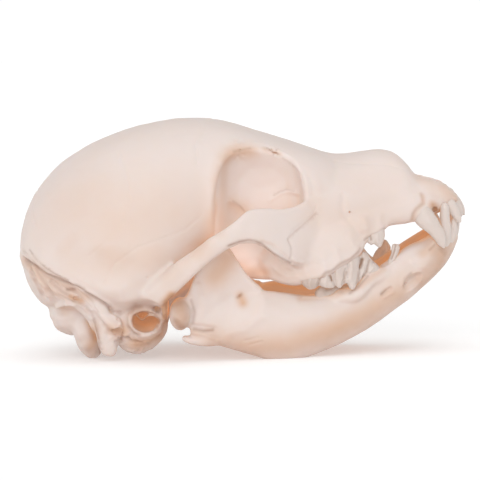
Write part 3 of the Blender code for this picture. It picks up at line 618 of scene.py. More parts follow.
# Fine shape of the cranium, drawn on the side view as x, z of the plane of symmetry
cranium["lines"] = {  # reach, height (below the surface if negative), line, shift up
    "crestFlare": (2.2, 0.6, "nuchalFront", 1.6),
    "crestDip": (3.6, -0.6, "nuchalFront", 6.6),
    "nuchalEdge": (0.5, 0.35, "nuchal", 0.5),
    "nuchalStep": (0.4, -0.65, "nuchal", -0.25),
    "nuchalDip": (1.3, -0.45, "nuchal", -1.5),
    "nuchalUpper": (0.3, -0.38, ((-46.9, 22.2), (-45.6, 20.7), (-43.9, 19.3), (-42.2, 18.2),
        (-40.4, 17.4), (-38.6, 16.7))),
    "occiputOne": (0.45, -0.32, ((-45.4, 17.8), (-44.2, 15.2), (-42.9, 12.8))),
    "occiputTwo": (0.4, -0.3, ((-44.2, 18.4), (-42.4, 15.4), (-40.4, 12.6), (-38.6, 11.6))),
    "occiputThree": (0.35, 0.35, ((-44.8, 18), (-43.2, 15.2), (-41.6, 12.8))),
    "occiputFour": (0.4, -0.35, ((-41, 15.6), (-38.6, 13.4), (-36.4, 12.2))),
    "occiputFive": (0.4, 0.3, ((-41.8, 15), (-39.4, 12.6), (-37.4, 11.4))),
    "condyleArch": (0.45, 0.35, ((-39.4, 10.6), (-37.8, 11.3), (-35.7, 11.1), (-34, 10), (-32.4, 7.8))),
    "condyleFossa": (0.9, -0.45, ((-39.2, 9.4), (-37.8, 9.2), (-36.4, 9.4))),
    "backRidge": (0.6, 0.45, ((-45, 18.9), (-43.9, 17.2), (-42.6, 15.1), (-41.6, 13.1), (-40.9, 11.6))),
    "backHollow": (0.8, -0.6, ((-44.9, 17), (-44, 15.3), (-43, 13.8), (-42.4, 12.3))),
    "paraRear": (0.5, 0.65, ((-39.6, 10.4), (-38.2, 11), (-36.8, 11.2), (-35.2, 11), (-33.6, 10.2),
        (-32.2, 8.7), (-31.3, 6.7), (-30.7, 4), (-30.3, 1.6))),
    "paraHollow": (0.7, -0.35, ((-35.6, 12.6), (-33.6, 11.2), (-32, 9.4), (-30.6, 7.4))),
    "rootRidge": (1.3, 0.4, ((-13.8, 18.5), (-16.6, 16.2), (-19.3, 13.8), (-22.3, 12.3),
        (-25.3, 11.6))),
    "paraStriaOne": (0.32, -0.35, ((-37.3, 15.3), (-35.6, 13.8), (-33.9, 12.5), (-32.2, 10.8),
        (-31.1, 8.6))),
    "paraStriaTwo": (0.32, -0.35, ((-38.6, 14.2), (-36.4, 12.9), (-34.3, 11.4), (-32.6, 9.7))),
    "mastoidNotch": (0.35, -0.45, ((-28.1, 9.7), (-27.5, 9.1), (-26.8, 8.6), (-26, 8.2), (-26.6, 7.6))),
    "earLip": (0.5, 0.45, ((-24.2, 8.4), (-24, 7), (-23.6, 5.6), (-22.8, 4.6), (-21.5, 4),
        (-20.2, 4.1), (-18.9, 4.8), (-18.1, 6.2))),
    "bullaFold": (0.4, -0.35, ((-24.8, 3.7), (-23.4, 2.9), (-21.6, 2.7), (-19.6, 2.9), (-17.6, 4.1))),
    "bullaPitOne": (0.5, -0.45, ((-23.9, 5.6), (-23, 4.4))),
    "bullaPitTwo": (0.45, -0.4, ((-24.6, 3.4), (-23.2, 2.6), (-21.6, 2.4))),
    "bullaTop": (0.45, -0.5, ((-25.6, 7.6), (-25, 6), (-25.6, 4.4), (-26.4, 2.9))),
    "temple": (1.4, 0.15, ((-4.8, 41.6), (-5.6, 38.4), (-6, 33.1), (-6.3, 27.7), (-7.1, 23.2))),
    "orbitEdge": (0.5, 0.12, ((-3.9, 42.6), (-2.7, 44.1), (-1, 44.9), (1.6, 45.3), (4.2, 45.1),
        (6.7, 44.5), (9.7, 42.6), (12, 40.2), (13.4, 38.4), (14.1, 36.5), (14.1, 34.4), (13.6, 32.2))),
    "lacrimalBand": (1.1, -0.1, ((12.4, 40.8), (13.8, 38.6), (14.9, 36.6), (15.3, 34.4), (15, 32))),
    "lacrimalRidge": (0.8, 0.1, ((11.4, 41.8), (13.6, 39.8), (15.4, 37.4), (16.4, 35.2),
        (16.7, 32.6), (16.2, 30.1))),
    "jugalSeam": (0.22, -0.12, ((15.9, 31.8), (15.1, 30.1), (13.8, 28.8), (12.1, 27.5), (10.6, 26.2),
        (9.7, 24.7), (10.4, 23.2), (10.2, 21.5), (10.4, 19.8))),
    "roughTwo": (0.35, 0.16, ((8.4, 20.6), (9.5, 19.8), (10.8, 20.4), (11.6, 19.8), (12.9, 19.6))),
    "roughFour": (0.5, 0.14, ((6.6, 18.6), (7.8, 17.4), (9.6, 16.6), (11.6, 16.9))),
    "orbitArcOne": (0.3, -0.14, ((6.7, 33.9), (8.2, 35), (9.7, 35.4), (11.2, 35.2))),
    "orbitArcTwo": (0.5, 0.17, ((5.9, 33), (7.2, 34.1), (8.7, 34.8), (10.4, 34.9), (12, 34.4))),
    "orbitRidge": (0.5, 0.22, ((-2.8, 32.9), (-1.4, 32.3), (-0.1, 31.6), (0.7, 30.7))),
    "orbitSlit": (0.25, -0.35, ((5, 44.2), (6.3, 43.6), (7.2, 43.2), (7.8, 42.7))),
    "archUnder": (0.45, -0.3, ((4.2, 23.9), (6.6, 23), (8.6, 21.2), (10.4, 19.7), (12, 19))),
    "infraEdge": (0.8, -0.28, ((21.5, 33.9), (21.3, 32.2), (21.5, 30.5), (22.3, 29.4), (24, 27),
        (25.4, 25.2))),
    "premaxSeam": (0.35, -0.16, ((38.1, 34.4), (38.4, 33.5), (38.6, 32.4), (37.9, 31.8),
        (37.1, 31.1), (36.4, 30.1), (36.2, 28.8))),
    "canineRoot": (1.8, 0.35, ((37.4, 30.8), (36.4, 32.8), (35.2, 34.8))),
    "nasalSeam": (0.22, -0.08, ((18.7, 41.6), (23, 40.8), (27.2, 40.8), (31.5, 40.4), (34.5, 39.5))),
    "toothMargin": (0.5, 0.1, "upperMargin", 0.45),
    "toothGroove": (0.28, -0.15, "upperMargin"),
    "rootOne": (0.8, 0.25, ((13.6, 17.2), (13.4, 19))),
    "rootTwo": (0.9, 0.28, ((17.6, 18.6), (17.2, 20.6))),
    "rootThree": (0.8, 0.28, ((20.6, 20.2), (20, 22.4))),
    "rootFour": (0.8, 0.28, ((24, 22.8), (22.8, 25))),
    "rootFive": (0.9, 0.3, ((26.4, 27.2), (26, 28.6))),
    "rootSix": (0.9, 0.3, ((29.4, 27.6), (29.4, 29.4))),
    "parietalSeam": (0.22, -0.07, ((-26.4, 43.4), (-24.6, 38), (-24, 33), (-25.6, 28.2),
        (-28.8, 24.4), (-33, 21))),
    "squamaSeam": (0.22, -0.09, ((-30, 15.4), (-27.4, 19.4), (-22.6, 22.8), (-17.6, 24.6),
        (-12.4, 26.6), (-8.6, 30))),
}
# Lines over the vault and across the back: reach, height, points
cranium["across"] = (
    (0.9, 0.22, ((-46.7, 2.4, 21.4), (-46.6, 4, 21.3), (-46.1, 6.4, 20.9), (-45.2, 9, 20.1))),
    (0.9, -0.5, ((-46.3, 3.2, 19.8), (-45.7, 6, 19.3), (-44.9, 8.8, 18.6))),
    (0.6, 0.08, ((-46.4, 0, 19.6), (-45.6, 0, 16.8), (-44, 0, 14.2))),
    (1.3, -0.35, ((-45.2, 4, 17.4), (-43.8, 4.4, 14.8))),
    (0.28, -0.12, ((-45.4, 0, 31), (-42, 0, 37.4), (-36, 0, 43), (-26, 0, 47.6), (-16, 0, 50.2),
        (-6, 0, 50.4))),
    (0.28, -0.12, ((-6, 0, 50.4), (2, 0, 48.2), (10, 0, 45.6), (20, 0, 43), (30, 0, 43.8))),
    (0.28, -0.12, ((-6, 0, 50.4), (-7.6, 5, 49.4), (-8, 9, 47.4), (-10, 13, 44.4), (-9.6, 16, 40.8))),
    (0.28, -0.12, ((-43.6, 0, 35.2), (-43, 4, 34.6), (-43.6, 8, 31.4), (-42.4, 12, 28))),
)
# Rough places: middle, reach, height
cranium["rough"] = (
    ((-25.4, 16.6, 6.4), 2.4, 0.75),
    ((-22, 13, 2.6), 3, 0.45),
    ((10.6, 17.4, 20.4), 2.4, 0.25),
    ((-1, 11, 44.4), 2.2, 0.4),
    ((44, 3, 35), 3.2, 0.3),
)
cranium["shared"] = {
    "nuchalFront": ((-42.8, 18.4), (-40.1, 16.8), (-36.6, 15.4), (-33.2, 13.6), (-30, 12),
        (-26.6, 11.6)),
    "nuchal": ((-46.7, 20.9), (-45.4, 19.9), (-43.9, 18.9), (-41.8, 17.4), (-40.1, 16.8),
        (-38.4, 16.3), (-36.6, 15.4), (-34.9, 14.4), (-33.2, 13.6), (-31.5, 12.7), (-30, 11.6),
        (-28.7, 10.7), (-28, 9.6)),
    "upperMargin": (
        (12.9, 15.5), (14, 15.7), (15.5, 16), (16.8, 16.2), (17.4, 17), (17.9, 17.5), (18.9, 17.7),
        (19.6, 18.2), (20.2, 18.8), (21.1, 19.5), (21.9, 19.9), (23, 20.3), (23.8, 21), (24.7, 21.9),
        (25.1, 22.6), (25.2, 23.6), (25.8, 24.4), (27.2, 25.2), (29, 25.9), (30.2, 26.9),
    ),
}
# Holes: x, z in the side view, half width, half height, depth
cranium["holes"] = (
    (-36.6, 13.9, 0.5, 0.22, 0.5), (-35.6, 11.9, 0.95, 0.42, 0.6), (-26.9, 4.8, 1.3, 0.9, 0.7),
    (-20.4, 16.4, 0.16, 0.2, 0.25), (-0.6, 43.8, 0.3, 0.12, 0.25), (6.9, 43.2, 0.62, 0.14, 0.6),
    (6.2, 43.9, 0.2, 0.3, 0.4), (22.9, 30.5, 0.22, 0.22, 0.8), (41.1, 31, 0.75, 0.65, 0.7),
)


def makeCranium():
    c = cranium
    hulls = [
        stationHull(c["braincase"], count=120, around=90),
        stationHull(c["muzzle"], count=80, around=70),
    ]
    skull = meshObject("cranium", hulls + [bar(c["base"])])
    fuse(skull, c["grain"], rounds=3)
    carve(skull, [orbitShell(side) for side in sides.values()])
    added = [egg(c["vermis"]), egg(c["squama"])]
    for side in sides.values():
        added.append(wall(c["arch"], side))
        for name in ("toothRidge", "upperGum", "secondGum", "nuchalCrest", "pterygoid", "palatine"):
            added.append(bar(c[name], side))
        added.append(tusk(c["besideCondyle"], side, count=60, around=24))
        eggs = ("cheekBulb", "frontBulb", "condyle", "condyleTop", "bulla", "behindJoint", "earRing")
        added += [egg(c[name], side) for name in (*eggs, "mastoidBulb")]
    addShells(skull, added)
    fuse(skull, c["grain"], rounds=5)
    holes = [bar(c[name]) for name in ("noseOpening", "palate", "throat", "spinalHole")]
    ears = [egg(c[name], side) for side in sides.values() for name in ("earRecess", "earHole")]
    carve(skull, holes + ears)
    for side in sides.values():
        extras = [bar(c[name], side) for name in ("earRidge", "concha", "lowConcha")]
        addShells(skull, extras + [egg(c["mastoid"], side)])
    addShells(skull, [bar(c["septum"])])
    fuse(skull, c["fine"], rounds=4)
    tree = treeOf(skull)
    small = [pit(tree, *hole) for hole in c["holes"]]
    points = pointsOf(skull)
    normals = normalsOf(skull)
    push = waves(points, c["waves"])
    (x, overX), (z, overZ) = c["rear"]
    rear = np.clip((x - points[:, 0]) / overX, 0, 1) * np.clip((z - points[:, 2]) / overZ, 0, 1)
    push += waves(points, c["rearWaves"]) * rear
    for middle, reach, height in c["rough"]:
        near = nearSpot(points, middle, reach)
        some = near > 0.03  # the rest would hardly move
        push[some] += near[some] * height * waves(points[some], c["grit"])
    push = raised(push, points, tree, c, (1, -1))
    for reach, height, line in c["across"]:
        line = np.array(line)
        steps = [a + (b - a) * t for a, b in zip(line, line[1:]) for t in np.linspace(0, 1, 12)]
        path = np.array([tree.find_nearest(Vector(step))[0] for step in steps])
        for way in (1, -1):
            push += nearLine(points, path * (1, way, 1), reach) * height
    putPoints(skull, points + normals * push[:, None])
    carve(skull, [joinShells([flipped(one, way) for one in small for way in (1, -1)])])
    keepLargest(skull)
    fewer = skull.modifiers.new("fewer", "DECIMATE")
    fewer.ratio = min(1.0, c["triangles"] / sum(len(p.vertices) - 2 for p in skull.data.polygons))
    baked(skull)
    return skull


# Lower jaw

jaw = {
    "grain": 0.34,
    "fine": 0.26,
    "waves": ((0.16, 2, 0.16),),
    "ripples": ((0.6, 4, 0.04),),
    "body": (
        (-9, 17, 9.4, 4.6, 1.2), (-3, 16.2, 8.8, 5.7, 1.7), (4, 14.8, 8, 7, 2.5),
        (9, 13.6, 7.15, 7.35, 2.8), (14, 12.4, 7.6, 6.4, 2.9), (19, 11, 9, 5.8, 2.8),
        (24.1, 9.6, 11, 5.2, 2.7), (29.1, 8.2, 14, 4.9, 2.6), (34.2, 6.6, 17.6, 4.8, 2.6),
        (38.7, 4.9, 21.3, 4.4, 2.7), (42.2, 3.4, 24.6, 3.5, 2.4), (44.3, 2.5, 27, 2.3, 1.8),
    ),
    "ramus": (
        (14, 11.4), (8, 13.2), (4.3, 14.7), (2.8, 16.6), (0.7, 18.9), (-0.6, 21.2), (-2.4, 23.9),
        (-4.6, 26), (-6.4, 25.4), (-8.6, 22.6), (-10.2, 18.6), (-11.2, 15.6), (-12.6, 13),
        (-13.2, 10.2), (-11.4, 7.8), (-10.6, 5.6), (-8.2, 3.7), (-4.3, 3.6), (0, 2.8), (6, 2.8),
        (14, 4.6),
    ),
    # Branch: distance from the middle, how it leans out from a height on and turns in from
    # an x on, its thickness, and layers across it as place and size of the outline
    "ramusY": 17.6,
    "lean": (8, 0.17),
    "turn": (-9, 0.3),
    "thickness": 2,
    "layers": ((-0.5, 0.9), (-0.3, 0.97), (0, 1), (0.3, 0.97), (0.5, 0.9)),
    "gum": (
        (18.2, 12.2, 12.5, 1.2, 1.4), (20.4, 12.2, 13.5, 1.2, 1.5), (23.2, 11.9, 13.9, 1.3, 1.6),
        (25, 11.4, 15.1, 1.4, 1.6), (26.6, 10.8, 16.8, 1.6, 1.5), (28.6, 10, 17.6, 1.5, 1.3),
        (31, 8.7, 18.7, 1.2, 1.1), (33, 7.8, 20, 0.9, 0.9),
    ),
    "hook": ((-3, 16.6, 5.6, 1.9, 1.3), (-8, 17, 4.8, 1.4, 1.2), (-11, 17.2, 4.9, 0.9, 1),
        (-12.6, 17.2, 5.4, 0.6, 0.7)),
    "joint": ((-12.9, 18.4, 10.4), (2.4, 4.2, 3.5), 0),
    "muscleHollow": ((-3.4, 20.6, 12.4), (5.6, 2.6, 6.6), 20),
    "chinGap": 0.1,
    # Lower places of the upper edge on one side only: x, reach, depth, from this height on
    "dips": {"left": (0.8, 3.5, 2.7, 9), "right": (39, 3.4, 1.05, 18)},
    "dipOver": 3,  # height it takes to set in
    # Painted glow and painted shade on the inner face: from the face's slant, less from this x on over
    # this length
    "inner": {"slant": 1.5, "from": 28, "over": 8, "most": 0.22, "less": 0.15},
}


def ramusShell(side):
    outline = np.array(jaw["ramus"], float)
    middle = outline.mean(axis=0)
    (level, lean), (start, turn) = jaw["lean"], jaw["turn"]
    rings = []
    for offset, scale in jaw["layers"]:
        x, z = (middle + (outline - middle) * scale).T
        y = jaw["ramusY"] + (z - level) * lean + offset * jaw["thickness"]
        y = y - np.maximum(x - start, 0) * turn
        rings.append(np.stack([x, side * y, z], axis=1))
    return loft(rings)


jaw["lines"] = {  # as for the cranium
    "coronoidEdge": (0.7, 0.35, ((-1.6, 22.4), (0.2, 19.6), (1.8, 17.2), (3.2, 15.2), (5.2, 13.6))),
    "muscleRim": (1.2, 0.35, ((3.6, 14.2), (4.6, 11.4), (3.8, 8.4), (0.6, 5.6), (-3.4, 4.6))),
    "muscleFloor": (2.4, -0.5, ((-3, 17), (-1.6, 13.4), (-2.6, 10))),
    "neck": (0.9, -0.45, ((-9.6, 14.6), (-9.2, 12.4), (-9.6, 9.8), (-10.6, 7.6))),
    "hookTop": (0.5, 0.3, ((-11.6, 4.6), (-9.6, 4.4), (-7.4, 4), (-5.2, 3))),
    "hookGroove": (0.5, -0.35, ((-10.6, 6), (-8.4, 5.8), (-6, 5.4))),
    "bodyBulge": (2.6, 0.5, ((6, 8.6), (12, 7.6), (18, 9), (24, 12))),
    "marginLow": (0.35, 0.25, "lowerMargin", -0.3),
    "chin": (0.7, 0.3, ((36.4, 20.4), (38.8, 22.8), (40.8, 24.6))),
    "foldOne": (0.22, -0.14, ((1.6, 2), (2.9, 2.4), (4.2, 2.7))),
    "foldTwo": (0.22, -0.12, ((0.4, 2.9), (1.8, 3.2), (3.4, 3.6))),
    "mentalRim": (0.4, 0.25, ((34.2, 14.8), (34.8, 16.4), (36.2, 17.5), (37.9, 17.9))),
    "mentalPit": (0.85, -0.75, ((35.2, 14.7), (36.2, 15.8), (37.3, 16.6))),
    "mentalEdge": (0.4, 0.25, ((35.6, 13.6), (37, 14.6), (38.2, 16))),
    "secondPit": (0.4, -0.45, ((29.9, 12.8), (30.7, 13.5), (31.6, 14))),
    "secondRim": (0.4, 0.22, ((30.4, 12.2), (31.4, 12.9), (32.2, 13.2))),
    "canineSwell": (1.4, 0.5, ((40.6, 25.4), (40, 22.6), (38.4, 19.8))),
}
jaw["shared"] = {
    "lowerMargin": (
        (13, 12.5), (15.7, 12.5), (18.7, 12.6), (20, 13.1), (20.4, 13.7), (21.9, 13.9), (23.6, 14.1),
        (24.5, 14.6), (25.4, 15.6), (26.2, 16.7), (27.1, 17.7), (28.1, 18.2), (29.2, 18.4),
        (30.3, 18.8), (31.1, 19.1), (32.4, 20.1),
    ),
}
jaw["holes"] = (
    (35.2, 15, 0.45, 0.32, 0.6), (30.2, 13.1, 0.35, 0.18, 0.45), (-0.5, 12.5, 0.44, 0.4, 0.45),
    (0.1, 11, 0.22, 0.18, 0.3),
)


def makeJaw(name, side):
    body = [bar(jaw["body"], side, count=70, around=28), ramusShell(side)]
    small = [bar(jaw["gum"], side), bar(jaw["hook"], side), egg(jaw["joint"], side)]
    obj = meshObject("mandible_" + name, body + small)
    fuse(obj, jaw["grain"], rounds=6)
    carve(obj, [egg(jaw["muscleHollow"], side)])
    fuse(obj, jaw["fine"], rounds=6)
    points = pointsOf(obj)
    normals = normalsOf(obj)
    tree = treeOf(obj, -side)
    push = waves(points * (1, -side, 1), jaw["waves"]) + waves(points, jaw["ripples"])
    push = raised(push, points, tree, jaw, (-side,))
    putPoints(obj, points + normals * push[:, None])
    holes = [pit(tree, *hole) for hole in jaw["holes"] if seen(tree, *hole[:2])[0] is not None]
    carve(obj, [joinShells([flipped(hole, -side) for hole in holes])])
    points = pointsOf(obj)
    points[:, 1] = side * np.maximum(side * points[:, 1], jaw["chinGap"])
    where, reach, deep, start = jaw["dips"][name]
    upper = np.clip((points[:, 2] - start) / jaw["dipOver"], 0, 1)
    points[:, 2] -= deep * upper * np.exp(-(((points[:, 0] - where) / reach) ** 2))
    putPoints(obj, points)
    return keepLargest(obj)


# Milk teeth. Front teeth as x, y, z, half depth, half width from the root to the tip,
# cheek teeth as outlines in the side view with their lean and thickness

teeth = {
    "grain": 0.14,
    "waves": ((0.9, 6, 0.06), (2.4, 1, 0.02)),
    "leftAhead": 1.1,  # the left canines stand a little further forward
    "upperFront": {
        "first": ((44.9, 1.4, 34.4, 0.5, 0.9), (45.6, 1.35, 33.2, 0.75, 1.1),
            (46.2, 1.3, 32.3, 0.75, 1.15), (46.7, 1.3, 31.4, 0.6, 1), (47.05, 1.35, 30.4, 0.38, 0.7),
            (47.2, 1.4, 29.9, 0.15, 0.3)),
        "second": ((43.6, 3.3, 34.4, 0.7, 0.9), (44.4, 3.5, 33.4, 1, 1.05),
            (45.3, 3.6, 32.1, 1.05, 1.1), (46, 3.6, 30.9, 0.8, 0.9), (46.4, 3.5, 30.1, 0.45, 0.5),
            (46.55, 3.45, 29.7, 0.15, 0.2)),
        "third": ((42.2, 4.9, 34.4, 0.9, 0.8), (43.2, 5, 33.2, 1.3, 1),
            (44.2, 5.2, 31.9, 1.35, 1.05), (45, 5.2, 30.6, 1.1, 0.95), (45.7, 5.1, 29.4, 0.75, 0.7),
            (46.05, 4.9, 28.5, 0.3, 0.3)),
        "canine": (
            (36, 6.9, 34.6, 1.2, 1), (36.8, 7.3, 32.6, 1.7, 1.3), (37.5, 7.7, 31.2, 2.1, 1.45),
            (38.3, 7.8, 29.9, 2.2, 1.5), (39.4, 7.8, 28.7, 2, 1.45), (40.4, 7.6, 27.5, 1.65, 1.3),
            (41.25, 7.3, 26.3, 1.45, 1.15), (41.8, 7.1, 25.2, 1.22, 1), (42.15, 6.9, 24.3, 0.95, 0.75),
            (42.42, 6.8, 23.7, 0.55, 0.45), (42.6, 6.8, 23.2, 0.15, 0.15),
        ),
    },
    "lowerFront": {
        "first": ((43.8, 1.1, 23.6, 0.75, 0.75), (44.5, 1.15, 25, 0.85, 0.8),
            (45.1, 1.2, 26.5, 0.8, 0.85), (45.6, 1.25, 27.9, 0.6, 0.7), (45.9, 1.3, 29, 0.3, 0.4),
            (46, 1.3, 29.4, 0.12, 0.15)),
        "second": ((43.6, 2.8, 23.6, 0.8, 0.8), (44.3, 2.9, 24.9, 0.95, 0.85),
            (45, 3, 26.4, 0.95, 0.9), (45.4, 3.1, 27.9, 0.75, 0.75), (45.7, 3.1, 29.2, 0.4, 0.4),
            (45.75, 3.1, 29.6, 0.15, 0.15)),
        "third": ((43.4, 4.1, 23.6, 0.8, 0.8), (43.9, 4.3, 24.9, 1.05, 0.9),
            (44.3, 4.5, 26.5, 1.1, 0.95), (44.6, 4.7, 28, 0.9, 0.8), (44.8, 4.7, 29.2, 0.55, 0.5),
            (44.9, 4.7, 29.8, 0.2, 0.2)),
        "canine": ((42.2, 4.2, 22.6, 0.9, 0.9), (42.7, 5.2, 24.6, 1.3, 1.15),
            (42.8, 5.9, 27, 1.35, 1.15), (42.75, 6.3, 29.4, 1.15, 1.05),
            (42.7, 6.6, 31.2, 0.98, 0.95), (42.65, 6.8, 32.3, 0.8, 0.75),
            (42.6, 6.9, 32.9, 0.35, 0.35)),
    },
    "upperCheek": {
        "second": {
            "outline": ((25.5, 26.6), (25.6, 25.6), (25.9, 25), (26.3, 24.6), (27, 24.2),
                (27.5, 24.4), (28.2, 23.9), (28.9, 23.6), (29.4, 24.3), (29.7, 25.2), (29.9, 26.4),
                (29.7, 28), (28.7, 29.2), (26.7, 28.4)),
            "at": (28, 26), "y": 10.9, "slope": -0.33, "lean": 0, "thick": 1.05, "round": 1.5,
        },
        "third": {
            "outline": (
                (19.1, 21), (18.9, 18.6), (19.1, 17.2), (19.4, 16.1), (20, 15.5), (20.6, 15.6),
                (21.1, 16.1), (21.6, 16.4), (22, 16.1), (22.3, 15.4), (22.9, 15), (23.6, 15.4),
                (24, 16.6), (24.3, 18.2), (24.4, 19.8), (24.5, 21.4), (24.3, 23), (23.6, 24.4),
                (21.4, 23.6),
            ),
            "at": (21.5, 20), "y": 13.6, "slope": -0.3, "lean": -0.14, "thick": 1.35, "round": 1.5,
        },
        "fourth": {
            "outline": (
                (12.3, 18.6), (12.3, 17.2), (12.5, 16.3), (12.9, 15.8), (13.7, 15.3), (14.5, 15.2),
                (15.2, 15.5), (15.9, 16), (16.6, 15.7), (17.4, 15.5), (18.3, 15.4), (19, 15.5),
                (19.4, 16.3), (19.5, 17.6), (19.3, 19.6), (16.4, 20.6), (13, 19.8),
            ),
            "at": (16, 17.5), "y": 14.8, "slope": -0.18, "lean": -0.12, "thick": 1.55, "round": 1.6,
        },
    },
    "lowerCheek": {
        "second": {
            "outline": ((30.5, 20.4), (30.8, 21.2), (31.3, 22.2), (31.4, 23.3), (31.6, 24.1),
                (32.2, 24.3), (32.9, 24.2), (33.2, 23.7), (33.1, 22.8), (32.7, 21.8), (32.3, 20.6),
                (31.6, 19.4), (30.4, 18.6)),
            "at": (31.5, 21.5), "y": 8.4, "slope": -0.33, "lean": 0.05, "thick": 0.95, "round": 1.2,
        },
        "third": {
            "outline": (
                (22.8, 20.6), (23.3, 21.5), (24.1, 22.3), (24.9, 22.8), (25.6, 22.9), (26.2, 22.4),
                (26.7, 21.7), (27.2, 21.1), (27.8, 20.5), (28.5, 19.9), (29.1, 19.1), (28.9, 18.2),
                (27.4, 17.2), (25.2, 15.4), (23.9, 14.4), (22.4, 14), (22.4, 15.9), (22.6, 17.4),
                (22.7, 19),
            ),
            "at": (26, 18), "y": 10.5, "slope": -0.36, "lean": 0.12, "thick": 1.4, "round": 1.6,
        },
        "fourth": {
            "outline": (
                (15.3, 12.4), (15.1, 14.2), (15.7, 15.3), (16.7, 15.9), (17.6, 15.3), (18.4, 15.6),
                (19.6, 16.2), (20.9, 15.8), (22, 16), (22.9, 15.5), (23.2, 14), (21.5, 12.4),
                (18.4, 12),
            ),
            "at": (20.5, 14), "y": 11.6, "slope": -0.26, "lean": 0.12, "thick": 1.2, "round": 1.3,
        },
    },
    # The left one stands a little further back
    "lowerCheekLeft": {
        "second": {
            "outline": ((27.9, 18.6), (28.3, 20.2), (28.8, 21.3), (29.6, 22.4), (30.2, 23.4),
                (30.7, 24), (31.3, 23.8), (31.9, 23), (32.2, 22.2), (31.9, 20.8), (31.2, 19.6),
                (30.4, 18.2), (28.4, 17.6)),
            "at": (30.2, 21), "y": 8.8, "slope": -0.33, "lean": 0.05, "thick": 1.1, "round": 1.3,
        },
    },
    # Inner cusps of the upper cheek teeth: centre, radii, turn
    "inner": (
        ((20.9, 12.2, 20.4), (1.2, 1.2, 1.5), 0),
        ((17.6, 12.2, 18.2), (1.7, 1.9, 1.6), 0),
        ((15.6, 12, 17.8), (1.4, 1.5, 1.3), 0),
    ),
}
teeth["lines"] = {  # as for the bones
    "thirdCleft": (0.35, -0.35, ((21.9, 16.2), (21.9, 17.2), (22.2, 18.2))),
    "thirdFore": (0.32, 0.18, ((23.1, 15.8), (23.4, 18.4), (23.3, 21))),
    "thirdFold": (0.22, -0.2, ((22.5, 16.6), (22.7, 18.6), (22.6, 20.6))),
    "thirdRear": (0.3, 0.16, ((20, 16.2), (20.2, 18), (20.3, 19.6))),
    "fourthCleft": (0.32, -0.4, ((16.2, 14.4), (16.3, 15.2), (16.6, 16.4))),
    "fourthNick": (0.22, -0.45, ((19.1, 15.9), (18.9, 16.6), (18.6, 17.3))),
    "fourthFore": (0.35, 0.2, ((17.6, 14.6), (18, 15.6), (18, 17))),
    "fourthRear": (0.3, 0.2, ((14.4, 14.6), (14.5, 15.6), (14.6, 16.4))),
    "fourthEnd": (0.25, -0.25, ((13.7, 15.2), (13.6, 16.4))),
    "secondCleft": (0.25, -0.28, ((27.5, 24.5), (27.4, 25.2), (27, 25.8))),
    "secondNeck": (0.28, -0.26, ((25.8, 25.3), (26.7, 25.6), (27.8, 26), (28.8, 26.6), (29.7, 27.4))),
    "secondFore": (0.35, 0.2, ((28.8, 23.9), (28.9, 25.4))),
    "lowThirdPit": (0.45, -0.7, ((25.6, 20.2), (25.2, 19.2), (24.9, 18.7))),
    "lowThirdRidge": (0.35, 0.25, ((25.7, 22.2), (25.9, 20.2), (25.8, 18), (25.2, 16.6))),
    "lowThirdCleft": (0.26, -0.36, ((27.2, 20.2), (26.8, 18.8), (26.5, 17.6), (25.8, 16.6))),
    "lowThirdHeel": (0.3, 0.22, ((28.2, 19.2), (27.7, 18.4), (27.3, 17.8))),
    "lowSecondCleft": (0.25, -0.3, ((32.7, 23.4), (32.4, 22), (31.8, 20.6))),
    "lowSecondRidge": (0.3, 0.18, ((32.1, 23.8), (31.8, 22.4), (31.3, 20.8))),
    "lowFourthCleft": (0.3, -0.25, ((21.6, 15.8), (21.4, 14.6), (21.2, 13.4))),
}


def makeTeeth(name, side, front, cheek, eggs=()):
    shells = []
    for tooth, stations in front.items():
        ahead = teeth["leftAhead"] if side > 0 and tooth == "canine" else 0
        shells.append(tusk(np.array(stations) + (ahead, 0, 0, 0, 0), side))
    shells += [blade(tooth, side) for tooth in cheek.values()]
    shells += [egg(shape, side) for shape in eggs]
    obj = meshObject(name, shells)
    fuse(obj, teeth["grain"], rounds=4)
    points = pointsOf(obj)
    push = raised(waves(points, teeth["waves"]), points, treeOf(obj, -side), teeth, (-side,))
    putPoints(obj, points + normalsOf(obj) * push[:, None])
    return obj


skull = makeCranium()
print("cranium", len(skull.data.polygons))
jaws = {name: makeJaw(name, side) for name, side in sides.items()}
print("jaws", [len(j.data.polygons) for j in jaws.values()])
upperTeeth, lowerTeeth = {}, {}
for name, side in sides.items():
    upperTeeth[name] = makeTeeth(
        "teeth_upper_" + name, side, teeth["upperFront"], teeth["upperCheek"], teeth["inner"]
    )
for name, side in sides.items():
    cheek = {**teeth["lowerCheek"], **(teeth["lowerCheekLeft"] if side > 0 else {})}
    lowerTeeth[name] = makeTeeth("teeth_lower_" + name, side, teeth["lowerFront"], cheek)
bones = [skull, *jaws.values()]
crowns = [*upperTeeth.values(), *lowerTeeth.values()]
print("teeth", [len(t.data.polygons) for t in crowns])


# Hollows: how much of the sky each point of the bone can't see, which the materials turn into painted
# shade and painted glow

hollows = {
    "rays": 14,
    "reach": 30,
    "start": 0.12,  # above the bone
    "lowest": 0.02,
    "blur": 3,
    "spread": 0.6,
}


